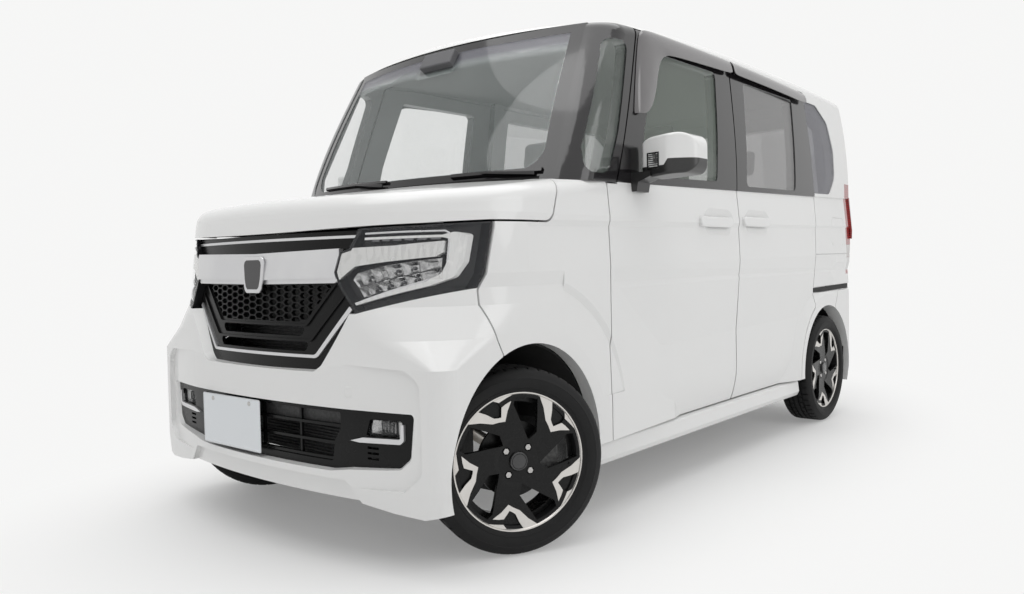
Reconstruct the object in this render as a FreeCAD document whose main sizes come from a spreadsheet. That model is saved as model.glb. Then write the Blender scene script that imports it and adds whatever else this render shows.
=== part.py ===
import FreeCAD, Part
import math
import os

from FreeCAD import Placement, Rotation, Vector

# A tall kei-class wagon: hinged front doors, sliding rear doors, a lift-up tailgate and a short nose.
# Millimetres. The nose points along -Y, the car's left side is +X, up is +Z, and the origin is on the
# ground at the middle of the car. The front wheels stand turned to the car's right.

doc = FreeCAD.newDocument("kei_car")
sheet = doc.addObject("Spreadsheet::Sheet", "Sizes")

# Driving dimensions: alias, value (mm or degrees), meaning.
SIZES = [
    ("overall_length", 3395, "bumper to bumper"),
    ("overall_width", 1475, "across the panels, without mirrors"),
    ("overall_height", 1790, "ground to roof"),
    ("wheelbase", 2520, "axle to axle"),
    ("front_axle_y", -1232.5, "front axle"),
    ("wheel_track", 1305, "tyre centre to tyre centre"),
    ("axle_height", 279, "wheel centre above ground"),
    ("tyre_radius", 279, "loaded tyre radius"),
    ("tyre_half_width", 82.5, "half of the tyre section width"),
    ("rim_radius", 190.5, "bead seat of a 15 inch rim"),
    ("rim_half_width", 63.5, "half of the rim between its flanges"),
    ("wheel_offset", 45, "wheel's mounting face outboard of the tyre centre"),
    ("stud_circle_radius", 50, "circle of the four wheel studs"),
    ("hub_radius", 22, "turning hub in its bearing"),
    ("steer_now", 27.5, "front wheels turned to the car's right, degrees"),
    ("kingpin_x", 640, "steering axis from the centreline"),
    ("front_arch", 349, "front wheel opening radius"),
    ("rear_arch", 335, "rear wheel opening radius"),
    ("front_well_x", 395, "inner wall of the front wheel wells"),
    ("rear_well_x", 540, "inner wall of the rear wheel wells"),
    ("roof_seam_x", 597, "roof and side frames meet inside this line"),
    ("inner_wall_x", 642, "inner face of the doors below the belt"),
    ("pillar_wall", 46, "pillar and roof rail thickness"),
    ("roof_wall", 34, "roof thickness"),
    ("nose_wall", 45, "bumper and fender depth"),
    ("bonnet_wall", 36, "bonnet thickness"),
    ("panel_gap", 6, "shut line between panels"),
    ("sill_z", 262, "bottom edge of the doors"),
    ("belt_front_z", 1134, "belt line at the front door's front edge"),
    ("belt_rise", 24, "belt line's rise per metre towards the rear"),
    ("roof_rail_z", 1704, "lower edge of the roof over the doors"),
    ("door_front_y", -800, "front edge of the front door"),
    ("door_split_y", 204, "rear edge of the front door"),
    ("bonnet_front_z", 972, "lower edge of the bonnet at the middle"),
    ("tailgate_half_width", 640, "half of the tailgate"),
    ("tailgate_low_z", 624, "bottom edge of the tailgate"),
    ("tailgate_hinge_y", 1500, "front edge of the tailgate on the roof"),
    ("floor_z", 340, "top of the cabin floor"),
    ("floor_half_width", 636, "floor between the door openings"),
    ("firewall_y", -985, "bulkhead between engine and cabin"),
    ("seat_top_z", 745, "front seat cushion"),
]
for row, (alias, value, meaning) in enumerate(SIZES, start=1):
    sheet.set(f"A{row}", alias)
    sheet.set(f"B{row}", str(value))
    sheet.set(f"C{row}", meaning)
    sheet.setAlias(f"B{row}", alias)
doc.recompute()


def size(alias):
    return float(getattr(sheet, alias))


HALF_WIDTH = size("overall_width") / 2
NOSE_Y, TAIL_Y = -size("overall_length") / 2, size("overall_length") / 2
FRONT_Y = size("front_axle_y")
REAR_Y = FRONT_Y + size("wheelbase")
AXLE_Z = size("axle_height")
WHEEL_X = size("wheel_track") / 2
GAP = size("panel_gap")
INNER_X = size("inner_wall_x")
RAIL_Z = size("roof_rail_z")
SEAM_X = size("roof_seam_x")
FLOOR_Z = size("floor_z")
FLOOR_X = size("floor_half_width")
DOOR_FRONT, DOOR_SPLIT = size("door_front_y"), size("door_split_y")
FAR = 2500.0

finished = []


def bind(obj, **formulas):
    """Binds properties of a document object to the sheet; a double underscore stands for a dot."""
    for name, formula in formulas.items():
        obj.setExpression(name.replace("__", "."), formula)
    return obj


def keep(obj, label):
    obj.Label = label
    finished.append(obj)
    return obj


def shaped(label, *shapes):
    """A sub-part whose form comes from Part's own functions: one solid, or like solids that don't touch."""
    solids = [s for shape in shapes for s in shape.Solids if s.Volume > 500]
    obj = doc.addObject("Part::Feature", label)
    obj.Shape = solids[0] if len(solids) == 1 else Part.makeCompound(solids)
    return keep(obj, label)


# ---------------------------------------------------------------- outlines and prisms

def arc(a, b, c):
    return Part.Arc(Vector(*a), Vector(*b), Vector(*c)).toShape()


def line(a, b):
    return Part.LineSegment(Vector(*a), Vector(*b)).toShape()


def rounded(points, radii=0):
    """Closed wire through 2-D points; radii is one corner radius for all, or one for each point."""
    count = len(points)
    starts, middles, ends = [], [], []
    for i, (x, y) in enumerate(points):
        here = Vector(x, y, 0)
        before = Vector(*points[i - 1], 0) - here
        after = Vector(*points[(i + 1) % count], 0) - here
        radius = radii[i] if isinstance(radii, (list, tuple)) else radii
        if radius <= 0:
            starts.append(here)
            ends.append(here)
            middles.append(None)
            continue
        half_angle = before.getAngle(after) / 2
        back = radius / math.tan(half_angle)
        before.normalize()
        after.normalize()
        inward = (before + after).normalize()
        starts.append(here + before * back)
        ends.append(here + after * back)
        middles.append(here + inward * (radius / math.sin(half_angle) - radius))
    edges = []
    for i in range(count):
        if middles[i] is not None:
            edges.append(Part.Arc(starts[i], middles[i], ends[i]).toShape())
        following = starts[(i + 1) % count]
        if (following - ends[i]).Length > 1e-6:
            edges.append(Part.LineSegment(ends[i], following).toShape())
    return Part.Wire(edges)


def side_prism(points, radii=0, x_from=SEAM_X, x_to=900):
    """Prism across the car whose outline is (y, z)."""
    solid = Part.Face(rounded(points, radii)).extrude(Vector(0, 0, x_to - x_from))
    solid.Placement = Placement(Vector(x_from, 0, 0), Rotation(Vector(0, 1, 0), Vector(0, 0, 1), Vector(1, 0, 0)))
    return solid


def front_prism(points, radii=0, y_from=-FAR, y_to=0):
    """Prism along the car whose outline is (x, z)."""
    solid = Part.Face(rounded(points, radii)).extrude(Vector(0, 0, y_to - y_from))
    solid.Placement = Placement(Vector(0, y_to, 0), Rotation(Vector(1, 0, 0), Vector(0, 0, 1), Vector(0, -1, 0)))
    return solid


def plan_prism(points, radii=0, z_from=0, z_to=FAR):
    """Upright prism whose outline is (x, y)."""
    return Part.Face(rounded(points, radii)).extrude(Vector(0, 0, z_to - z_from)).translated(Vector(0, 0, z_from))


def block(x0, x1, y0, y1, z0, z1):
    return Part.makeBox(x1 - x0, y1 - y0, z1 - z0, Vector(x0, y0, z0))


def mirrored(shape):
    return shape.mirror(Vector(0, 0, 0), Vector(1, 0, 0))


def mirror_points(points):
    """A right-hand half outline, bottom to top, closed by its mirror image."""
    return list(points) + [(-x, z) for x, z in reversed(points)]


def across(y, z, radius, x_from, x_to):
    """Cylinder whose axis runs across the car."""
    return Part.makeCylinder(radius, x_to - x_from, Vector(x_from, y, z), Vector(1, 0, 0))


def rod(a, b, radius):
    a, b = Vector(*a), Vector(*b)
    return Part.makeCylinder(radius, (b - a).Length, a, b - a)


# ---------------------------------------------------------------- the body's outer form

def plan_outline(z, width, front, front_bow, front_corner, rear, rear_bow, rear_corner):
    """Plan section: bowed front and rear faces, rounded corners, straight sides."""
    def corner(face_y, bow, radius, sign):
        bow_centre = Vector(0, face_y - sign * bow, z)
        centre = Vector(width - radius, 0, z)
        centre.y = bow_centre.y + sign * math.sqrt((bow - radius) ** 2 - centre.x ** 2)
        outward = (centre - bow_centre).normalize()
        middle = centre + (outward + Vector(1, 0, 0)).normalize() * radius
        return bow_centre + outward * bow, middle, Vector(width, centre.y, z)

    def flip(v):
        return Vector(-v.x, v.y, v.z)

    f_bow, f_mid, f_side = corner(front, front_bow, front_corner, -1)
    r_bow, r_mid, r_side = corner(rear, rear_bow, rear_corner, 1)
    return Part.Wire([
        Part.Arc(flip(f_bow), Vector(0, front, z), f_bow).toShape(),
        Part.Arc(f_bow, f_mid, f_side).toShape(),
        Part.LineSegment(f_side, r_side).toShape(),
        Part.Arc(r_side, r_mid, r_bow).toShape(),
        Part.Arc(r_bow, Vector(0, rear, z), flip(r_bow)).toShape(),
        Part.Arc(flip(r_bow), flip(r_mid), flip(r_side)).toShape(),
        Part.LineSegment(flip(r_side), flip(f_side)).toShape(),
        Part.Arc(flip(f_side), flip(f_mid), flip(f_bow)).toShape(),
    ])


# Columns: height, half width, front face, its bow, front corner radius, rear face, its bow, rear corner.
LOWER_SECTIONS = [
    (178, 733, -1690, 2990, 50, 1672, 9000, 50),
    (262, 737.5, -1697.5, 2990, 60, 1694, 9000, 50),
    (585, 737.5, -1697.5, 2990, 65, 1697.5, 9000, 50),
    (660, 737.5, -1692, 3000, 280, 1697, 9000, 50),
    (750, 735, -1690, 3000, 432, 1696, 9000, 50),
    (800, 731, -1688, 3000, 440, 1695, 9000, 50),
    (840, 737.5, -1686, 3000, 450, 1694, 12000, 40),
    (1016, 737.5, -1668, 3000, 470, 1692, 15000, 16),
    (1200, 719, -1640, 3000, 470, 1690, 20000, 12),
]
GREENHOUSE_SECTIONS = [
    (1100, 724, -1126, 1700, 110, 1692, 24000, 12),
    (1400, 719, -993, 1780, 110, 1688, 24000, 14),
    (1700, 692, -818, 1864, 120, 1657, 24000, 50),
    (1850, 680, -728, 1900, 120, 1628, 24000, 120),
]
# Columns: y, height at the centreline, drop at 900 mm to either side.
BONNET_CROWN = [(-1900, 1037, 46), (-1500, 1094, 44), (-700, 1198, 40)]
ROOF_CROWN = [(-1200, 1660, 75), (-800, 1726, 75), (-300, 1774, 75), (400, 1792, 75), (1100, 1788, 75),
              (1900, 1738, 75)]


def body_loft(sections, inset, ruled):
    wires = [
        plan_outline(z, w - inset, f + inset, fb - inset, max(fc - inset, 20),
                     r - inset, rb - inset, max(rc - inset, 20))
        for z, w, f, fb, fc, r, rb, rc in sections
    ]
    return Part.makeLoft(wires, True, ruled)


def above_crown(crown, lowered):
    """The space above a surface crowned both ways."""
    wires = []
    for y, top, drop in crown:
        z = top - lowered
        wires.append(Part.Wire([
            arc((-900, y, z - drop), (0, y, z), (900, y, z - drop)),
            line((900, y, z - drop), (900, y, FAR)),
            line((900, y, FAR), (-900, y, FAR)),
            line((-900, y, FAR), (-900, y, z - drop)),
        ]))
    return Part.makeLoft(wires, True, False)


def belt_z(y):
    return size("belt_front_z") + (y - DOOR_FRONT) * size("belt_rise") / 1000


# A crease that rises to the rear runs along the whole side.
crease = Part.Face(rounded([(745, 1016), (737.6, 1016), (731.5, 997), (737.6, 860), (745, 860)]))
crease.Placement = Placement(Vector(0, -1240, -22), Rotation(Vector(1, 0, 0), Vector(0, 0, 1), Vector(0, -1, 0)))
crease = crease.extrude(Vector(0, 2960, 53))
# Between the wheels the doors are hollowed below it and tuck in towards the sill.
hollow_profile = Part.Wire([
    line((760, 0, 860), (737.6, 0, 860)),
    arc((737.6, 0, 860), (729, 0, 730), (716, 0, 560)),
    line((716, 0, 560), (717, 0, 418)),
    arc((717, 0, 418), (709, 0, 330), (687, 0, 255)),
    line((687, 0, 255), (680, 0, 100)),
    line((680, 0, 100), (760, 0, 100)),
    line((760, 0, 100), (760, 0, 860)),
])
hollow_plan = [(900, -830), (738, -830), (710, -330), (640, -50), (640, 700), (700, 950), (738, 1420), (900, 1420)]
hollow = Part.Face(hollow_profile).extrude(Vector(0, 3400, 61)).translated(Vector(0, -1700, -30.5))
hollow = hollow.common(plan_prism(hollow_plan))
hollow = hollow.cut(Part.makeCone(701, 326, 120, Vector(640, REAR_Y, AXLE_Z), Vector(1, 0, 0)))
# Over the front wheel a soft flare: out again towards the arch below a rounded shoulder.
flare_face = Part.Face(rounded([(400, 737.6), (528, 729), (550, 737.6), (550, 750), (400, 750)]))
flare_face.Placement = Placement(Vector(0, FRONT_Y, AXLE_Z), Rotation(Vector(0, 0, 1), Vector(1, 0, 0), Vector(0, 1, 0)))
flare = flare_face.revolve(Vector(0, FRONT_Y, AXLE_Z), Vector(1, 0, 0), 360)
flare = flare.common(block(700, 800, -1066, -720, 420, 900))

lower_loft = body_loft(LOWER_SECTIONS, 0, True)
shoulder = block(690, HALF_WIDTH, -1066, DOOR_FRONT + 20, 600, 850)
lower_loft = lower_loft.fuse([shoulder, mirrored(shoulder)])
side_cuts = [crease, hollow, flare]
lower_loft = lower_loft.cut(Part.makeCompound(side_cuts + [mirrored(s) for s in side_cuts]))
# Under the front bumper the middle of the lip steps back between two slanted ends.
lip = front_prism([(-503, 150), (503, 150), (457, 202), (401, 262), (-401, 262), (-457, 202)], 0, -FAR, -1500)
lower_loft = lower_loft.cut(lip.cut(body_loft(LOWER_SECTIONS, 17, True)))
LIP_EDGE = [(446, 204), (568, 188), (666, 181), (738, 200), (760, 206), (760, 100)]
lower_loft = lower_loft.cut(front_prism(mirror_points(LIP_EDGE[::-1]), 0, -FAR, -1500))
behind_nose = block(-FAR, FAR, DOOR_FRONT - GAP, FAR, 0, FAR)

nose_outer = lower_loft.cut(behind_nose).cut(above_crown(BONNET_CROWN, 0))
bonnet_face = max(nose_outer.Faces, key=lambda f: f.Area if f.CenterOfMass.z > 1050 else 0)
nose_outer = nose_outer.makeFillet(55, [e for e in bonnet_face.Edges if e.CenterOfMass.y < DOOR_FRONT - GAP - 2])
nose_inner = body_loft(LOWER_SECTIONS, size("nose_wall"), True).cut(above_crown(BONNET_CROWN, size("bonnet_wall")))
bay = nose_inner.common(block(-FAR, FAR, -FAR, size("firewall_y") - 12, 0, FAR))
bay = bay.fuse(block(-660, 660, -1600, size("firewall_y") - 12, 100, 260))

body_outer = lower_loft.common(behind_nose)
body_outer = body_outer.common(side_prism([(-1050, 0), (FAR, 0), (FAR, belt_z(FAR)), (-1050, belt_z(-1050))],
                                          0, -FAR, FAR))
above_belt = side_prism([(-1400, belt_z(-1400)), (FAR, belt_z(FAR)), (FAR, FAR), (-1400, FAR)], 0, -FAR, FAR)


def greenhouse(inset, roof_lowered=0):
    return body_loft(GREENHOUSE_SECTIONS, inset, False).cut(above_crown(ROOF_CROWN, roof_lowered))


glass_house = greenhouse(0)
roof_face = max(glass_house.Faces, key=lambda f: f.Area if f.CenterOfMass.z > 1700 else 0)
glass_house = glass_house.makeFillet(50, roof_face.Edges)
cabin_upper = greenhouse(size("pillar_wall"), size("roof_wall"))
pane_band = greenhouse(4).cut(greenhouse(10))
shell_upper = glass_house.cut(cabin_upper).common(above_belt)
cabin_lower = block(-INNER_X, INNER_X, size("firewall_y") - 12, 1622, 100, 1300)
shell_lower = body_outer.cut(cabin_lower)

front_well = across(FRONT_Y, AXLE_Z, size("front_arch"), size("front_well_x"), 900)
rear_well = across(REAR_Y, AXLE_Z, size("rear_arch"), size("rear_well_x"), 900)
wells = Part.makeCompound([front_well, rear_well, mirrored(front_well), mirrored(rear_well)])

# ---------------------------------------------------------------- windows, drawn in the side view

# Outline of the doors and windows on one side, as (y, z).
front_door_glass = [(-592, 1168), (20, 1186), (66, 1640), (-432, 1634), (-548, 1330)]
sliding_door_glass = [(306, 1182), (872, 1196), (896, 1642), (336, 1640)]
corner_window = [(-918, 1160), (-790, 1160), (-722, 1310), (-612, 1638), (-722, 1638), (-913, 1240)]
CORNER_RADII = [35, 60, 200, 30, 50, 40]
quarter_window = [(1110, 1196), (1350, 1202), (1436, 1290), (1444, 1440), (1384, 1584), (1230, 1662), (1050, 1662)]
windscreen_outline = [(648, 1150), (597, RAIL_Z), (-597, RAIL_Z), (-648, 1150)]
tailgate_window = mirror_points([(575, 1196), (545, 1620)])


def pane(prism):
    return pane_band.common(prism)


# ---------------------------------------------------------------- doors

door_outline = [
    (DOOR_FRONT, size("sill_z")), (DOOR_SPLIT, size("sill_z")), (DOOR_SPLIT, RAIL_Z - GAP),
    (-538, RAIL_Z - GAP), (-694, 1257), (-738, belt_z(-738) - GAP), (DOOR_FRONT, belt_z(DOOR_FRONT) - GAP),
]
slide_front = DOOR_SPLIT + GAP
slide_outline = [
    (slide_front, size("sill_z")), (1100, size("sill_z")), (1100, 690), (1127, 1150), (1127, 1185),
    (1062, RAIL_Z - GAP), (slide_front, RAIL_Z - GAP),
]


def door_frame(outline, window):
    """The frame above the belt, black round the glass."""
    return shell_upper.common(side_prism(outline)).cut(side_prism(window, 25))


# Handle of each door, as (front end, rear end, height, middle of the hand bowl).
HANDLES = [(-165, 120, 1018, 14), (235, 505, 1028, 398)]


def with_handle(panel, handle):
    """Presses a round bowl for the fingers into the panel and bridges it with a pull bar."""
    y0, y1, z, bowl_y = handle
    bar = side_prism([(y0, z - 21), (y1, z - 21), (y1, z + 22), (y0, z + 22)], 20, 729, 751)
    bar = bar.makeFillet(7, [e for e in bar.Edges if abs(e.CenterOfMass.x - 751) < 0.1])
    start, end = Vector(904, bowl_y - 72, z + 4), Vector(904, bowl_y + 72, z + 4)
    bowl = Part.makeCylinder(180, 144, start, Vector(0, 1, 0))
    bowl = bowl.fuse([Part.makeSphere(180, start), Part.makeSphere(180, end)])
    return panel.cut(bowl).fuse(bar)


# The rear edge is bevelled in plan so that it swings out past the sliding door.
door_bevel = plan_prism([(HALF_WIDTH + 1, DOOR_SPLIT), (560, DOOR_SPLIT - 18), (560, 400), (HALF_WIDTH + 1, 400)])
front_door = with_handle(shell_lower.common(side_prism(door_outline)), HANDLES[0]).cut(door_bevel)
front_frame = door_frame(door_outline, front_door_glass).cut(door_bevel)
front_pane = pane(side_prism(front_door_glass, 25))
slide_door = with_handle(shell_lower.common(side_prism(slide_outline)), HANDLES[1])
slide_door = slide_door.cut(across(REAR_Y, AXLE_Z, 381, 600, 900))
slide_frame = door_frame(slide_outline, sliding_door_glass)
slide_pane = pane(side_prism(sliding_door_glass, 25))
shaped("front_door_left", front_door)
shaped("front_door_right", mirrored(front_door))
shaped("front_door_frame_left", front_frame)
shaped("front_door_frame_right", mirrored(front_frame))
shaped("front_door_glass_left", front_pane)
shaped("front_door_glass_right", mirrored(front_pane))
shaped("sliding_doors", slide_door, mirrored(slide_door))
shaped("sliding_door_frames", slide_frame, mirrored(slide_frame))
shaped("sliding_door_glass", slide_pane, mirrored(slide_pane))

# Door mirror: a deep shell on a short foot at the door's front corner.
mirror_shell = plan_prism([(748, -628), (880, -652), (950, -602), (960, -490), (770, -518)], [25, 60, 60, 40, 14],
                          1154, 1300)
mirror_shell = mirror_shell.common(front_prism([(730, 1150), (952, 1162), (952, 1300), (730, 1288)],
                                               [20, 42, 52, 80]))
mirror_shell = mirror_shell.makeFillet(10, mirror_shell.Edges)
mirror_foot = front_prism([(690, 1174), (800, 1174), (800, 1156), (754, 1140), (748, 1108), (720, 1108)], 0, -648, -566)
mirror = mirror_shell.fuse(mirror_foot).cut(front_door).cut(front_frame).cut(front_pane)
mirror = mirror.cut(greenhouse(0))
shaped("door_mirror_left", mirror)
shaped("door_mirror_right", mirrored(mirror))

# ---------------------------------------------------------------- fixed side structure

windscreen_opening = front_prism(windscreen_outline, [60, 0, 0, 60], -1300, -600)

# Twin front pillars with a small fixed window between them, standing on the hinge pillar.
pillar_zone = side_prism([(-1200, belt_z(-1200)), (-745, belt_z(-745)), (-701, 1257), (-545, RAIL_Z),
                          (-900, RAIL_Z), (-1200, RAIL_Z)])
front_pillar = shell_upper.common(pillar_zone).cut(windscreen_opening)
front_pillar = front_pillar.cut(side_prism(corner_window, CORNER_RADII))
hinge_pillar = block(596, FLOOR_X, size("firewall_y"), DOOR_FRONT - GAP, FLOOR_Z, belt_z(-900))
hinge_pillar = hinge_pillar.fuse(block(596, 700, size("firewall_y"), DOOR_FRONT - GAP, 1000, belt_z(-900)))
hinge_pillar = hinge_pillar.common(nose_inner.fuse(block(0, FLOOR_X, -1000, 0, 0, 1200)))
front_pillar = front_pillar.fuse(hinge_pillar).removeSplitter().cut(wells)

centre_pillar = greenhouse(size("pillar_wall") + GAP).cut(greenhouse(84)).common(above_belt)
centre_pillar = centre_pillar.common(side_prism([(165, 1130), (255, 1130), (250, RAIL_Z + 6), (180, RAIL_Z + 6)], 0, 560))
centre_pillar = centre_pillar.fuse(block(596, FLOOR_X, 150, 270, FLOOR_Z, belt_z(210)))

quarter_zone = side_prism([
    (1106, 500), (1106, 690), (1133, 1150), (1133, 1186), (1067, RAIL_Z), (FAR, RAIL_Z), (FAR, 697), (1450, 691),
    (1403, 606), (1403, 500),
])
arch_lip = across(REAR_Y, AXLE_Z, 375, 600, 900).common(block(600, 900, 905, 1300, 262, 800))
quarter = shell_lower.common(quarter_zone.fuse(arch_lip))
quarter = quarter.fuse(shell_upper.common(quarter_zone)).removeSplitter()
tailgate_way = block(-size("tailgate_half_width") - GAP, size("tailgate_half_width") + GAP, 1400, FAR, 0, FAR)
quarter = quarter.cut(tailgate_way).cut(wells).cut(side_prism(quarter_window, [0, 60, 80, 90, 80, 60, 0]))
# The sliding door's rear rail and the seam of the panel above it.
rail_groove = side_prism([(1000, 682), (1700, 694), (1700, 724), (1000, 714)], 0, 722)
panel_seam = side_prism([(1000, 881), (1700, 886), (1700, 889), (1000, 884)], 0, 731)
slide_rail = quarter.common(side_prism([(1112, 687), (1700, 697), (1700, 721), (1112, 711)], 0, 722))
slide_rail = slide_rail.common(body_loft(LOWER_SECTIONS, 7, True))
shaped("slide_rails", slide_rail, mirrored(slide_rail))
quarter = quarter.cut(rail_groove).cut(panel_seam)
lamp_column = block(655, 800, 1590, FAR, 775, 1272)
tail_lamp = quarter.common(lamp_column)
bulge = body_loft(LOWER_SECTIONS, -9, True).cut(body_loft(LOWER_SECTIONS, 2, True))
bulge = bulge.common(block(659, 800, 1655, FAR, 970, 1200)).cut(tailgate_way)
tail_lamp = tail_lamp.fuse(bulge).removeSplitter()
quarter = quarter.cut(lamp_column)
# The fuel flap is on the left side only.
flap_seam = side_prism([(1362, 932), (1548, 932), (1548, 1080), (1362, 1080)], 24)
flap_seam = flap_seam.cut(side_prism([(1364, 934), (1546, 934), (1546, 1078), (1364, 1078)], 22))
shaped("rear_quarters", quarter.cut(flap_seam.cut(body_loft(LOWER_SECTIONS, 3, True))), mirrored(quarter))
shaped("tail_lamps", tail_lamp, mirrored(tail_lamp))
corner_pane = pane(side_prism(corner_window, CORNER_RADII))
quarter_pane = pane(side_prism(quarter_window, [0, 60, 80, 90, 80, 60, 0])).common(quarter_zone)
shaped("fixed_side_glass", corner_pane, quarter_pane, mirrored(corner_pane), mirrored(quarter_pane))

# ---------------------------------------------------------------- roof, tailgate and windscreen

tailgate_side = [
    (1628, 500), (1628, 1180), (1584, 1690), (size("tailgate_hinge_y"), 1742), (size("tailgate_hinge_y"), 1900),
    (1900, 1900), (1900, 500),
]
tailgate_space = side_prism(
    [(y - GAP if y < 1700 else y, z - GAP if 1680 < z < 1750 else z) for y, z in tailgate_side], 0,
    -size("tailgate_half_width") - GAP, size("tailgate_half_width") + GAP)
roof_zone = block(-FAR, FAR, -FAR, FAR, RAIL_Z, FAR).fuse(block(-SEAM_X, SEAM_X, -780, 1530, 1630, RAIL_Z))
windscreen_seat = greenhouse(-2).cut(greenhouse(12)).common(windscreen_opening)
roof = glass_house.cut(cabin_upper).common(roof_zone).cut(tailgate_space).cut(windscreen_seat)
shaped("roof", roof)
centre_pillar = centre_pillar.cut(roof)
shaped("centre_pillars", centre_pillar, mirrored(centre_pillar))

tailgate_cut = side_prism(tailgate_side, 0, -size("tailgate_half_width"), size("tailgate_half_width"))
tailgate_cut = tailgate_cut.common(block(-FAR, FAR, 0, FAR, size("tailgate_low_z"), FAR))
tailgate = body_outer.common(tailgate_cut).fuse(glass_house.common(above_belt).common(tailgate_cut))
tailgate = tailgate.removeSplitter()
rear_window = front_prism(tailgate_window, 50, 0, FAR)
tailgate = tailgate.cut(rear_window)
shaped("tailgate", tailgate)
shaped("tailgate_glass", pane(rear_window))

shaped("windscreen", pane(windscreen_opening))

# ---------------------------------------------------------------- nose

bonnet_rear = Part.Face(Part.Wire([
    arc((-760, -1050, 0), (0, -1152, 0), (760, -1050, 0)),
    line((760, -1050, 0), (760, -FAR, 0)),
    line((760, -FAR, 0), (-760, -FAR, 0)),
    line((-760, -FAR, 0), (-760, -1050, 0)),
]))


def bonnet_space(grown):
    """All that lies above the bonnet's edges: its front edge bows up to the sides, its side edges turn up."""
    low = size("bonnet_front_z") - grown
    middle = Part.Face(Part.Wire([
        arc((-600, 0, low + 12), (0, 0, low), (600, 0, low + 12)),
        line((600, 0, low + 12), (600, 0, FAR)),
        line((600, 0, FAR), (-600, 0, FAR)),
        line((-600, 0, FAR), (-600, 0, low + 12)),
    ])).extrude(Vector(0, FAR, 0)).translated(Vector(0, -FAR, 0))
    edge = side_prism([(-2400, low), (-1700, low), (-1533, low + 12), (-1368, low + 21), (-1130 + grown, low + 22),
                       (-1058 + grown, 1160), (-1058 + grown, FAR), (-2400, FAR)], [0, 0, 0, 0, 45, 0, 0, 0], 600)
    ahead = bonnet_rear.translated(Vector(0, grown, 0)).extrude(Vector(0, 0, FAR))
    return middle.fuse([edge, mirrored(edge)]).common(ahead)


bonnet = nose_outer.cut(nose_inner).common(bonnet_space(0))
shaped("bonnet", bonnet)
below_bonnet = nose_outer.cut(bonnet_space(GAP))

# Where lamp and bumper end and the fender begins, as (y, z) from the bonnet down.
SPLIT_LINE = [(-1360, 1200), (-1360, 978), (-1394, 838), (-1419, 792), (-1420, 752), (-1392, 653), (-1366, 606)]
fender_side = [(y + GAP, z) for y, z in SPLIT_LINE] + [
    (-1360, 262), (DOOR_FRONT - GAP, 262), (DOOR_FRONT - GAP, belt_z(DOOR_FRONT)), (-1047, belt_z(-1047)),
    (-1047, 1200)]
fender = below_bonnet.cut(nose_inner).common(side_prism(fender_side)).cut(front_well)
shaped("front_fenders", fender, mirrored(fender))
front_pillar = front_pillar.cut(fender)
shaped("front_pillars", front_pillar, mirrored(front_pillar))


def nose_plate(bow, lean, front, rear, z0, z1):
    """A plate bowed in plan and leaning back like the nose, between two depths behind its foremost line."""
    way = Vector(0, lean, 1)
    foot = Vector(0, bow - 1697.5, 585) - way * 500
    plate = Part.makeCylinder(bow - front, 1200, foot, way).cut(Part.makeCylinder(bow - rear, 1200, foot, way))
    return plate.common(block(-720, 720, -FAR, 0, z0, z1))


def upper_plate(front, rear, z0=560, z1=968):
    return nose_plate(2000, 0.045, front, rear, z0, z1)


def lower_plate(front, rear, z0=270, z1=480):
    return nose_plate(2990, 0, front, rear, z0, z1)


def tapered(front, rear, radii, y_front, y_rear):
    """Cutting tool for an opening with sloping walls: (x, z) half outlines at its front and its rear."""
    wires = []
    for half, y in ((front, y_front), (rear, y_rear)):
        wire = rounded(mirror_points(half), radii + radii[::-1])
        wire.Placement = Placement(Vector(0, y, 0), Rotation(Vector(1, 0, 0), Vector(0, 0, 1), Vector(0, -1, 0)))
        wires.append(wire)
    return Part.makeLoft(wires, True, True)


nose_front = side_prism(SPLIT_LINE + [(-1366, 0), (-2000, 0), (-2000, 1200)], 0, -FAR, FAR)
nose_skin = below_bonnet.cut(bay).common(nose_front).cut(wells)
# Half outlines of the openings in the nose, as (x, z), bottom to top.
BETWEEN_LAMPS = [(443, 733), (379, 819), (366, 851), (381, 907), (410, 916), (456, 1010)]
LAMP = BETWEEN_LAMPS[::-1] + [(681, 796), (800, 828), (800, 1010)]
v_opening = tapered([(305, 560), (345, 580), (500, 739)], [(258, 573), (278, 590), (385, 739)], [15, 25, 0],
                    -1720, -1620)
v_opening = v_opening.fuse(front_prism(mirror_points(BETWEEN_LAMPS)))
lower_opening = tapered([(350, 280), (430, 290), (680, 300), (740, 330), (764, 467)],
                        [(330, 290), (400, 301), (560, 312), (598, 340), (614, 463)], [30, 30, 30, 20, 15], -1720, -1600)
lamp_prism = front_prism(LAMP)
# Inside the ridge down its corner the bumper falls back towards the lower grille.
recess = tapered([(380, 240), (632, 244), (698, 298), (694, 562), (648, 600), (380, 600)],
                 [(380, 252), (590, 256), (652, 302), (648, 547), (598, 574), (380, 574)], [0, 20, 40, 50, 60, 0],
                 -1720, -1580)
nose_skin = nose_skin.cut(recess.cut(Part.makeCylinder(2270, 600, Vector(0, 2270 - 1705.9, 100))))
bumper = nose_skin.cut(Part.makeCompound([lamp_prism, mirrored(lamp_prism)])).cut(v_opening).cut(lower_opening)
shaped("front_bumper", bumper)

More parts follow.
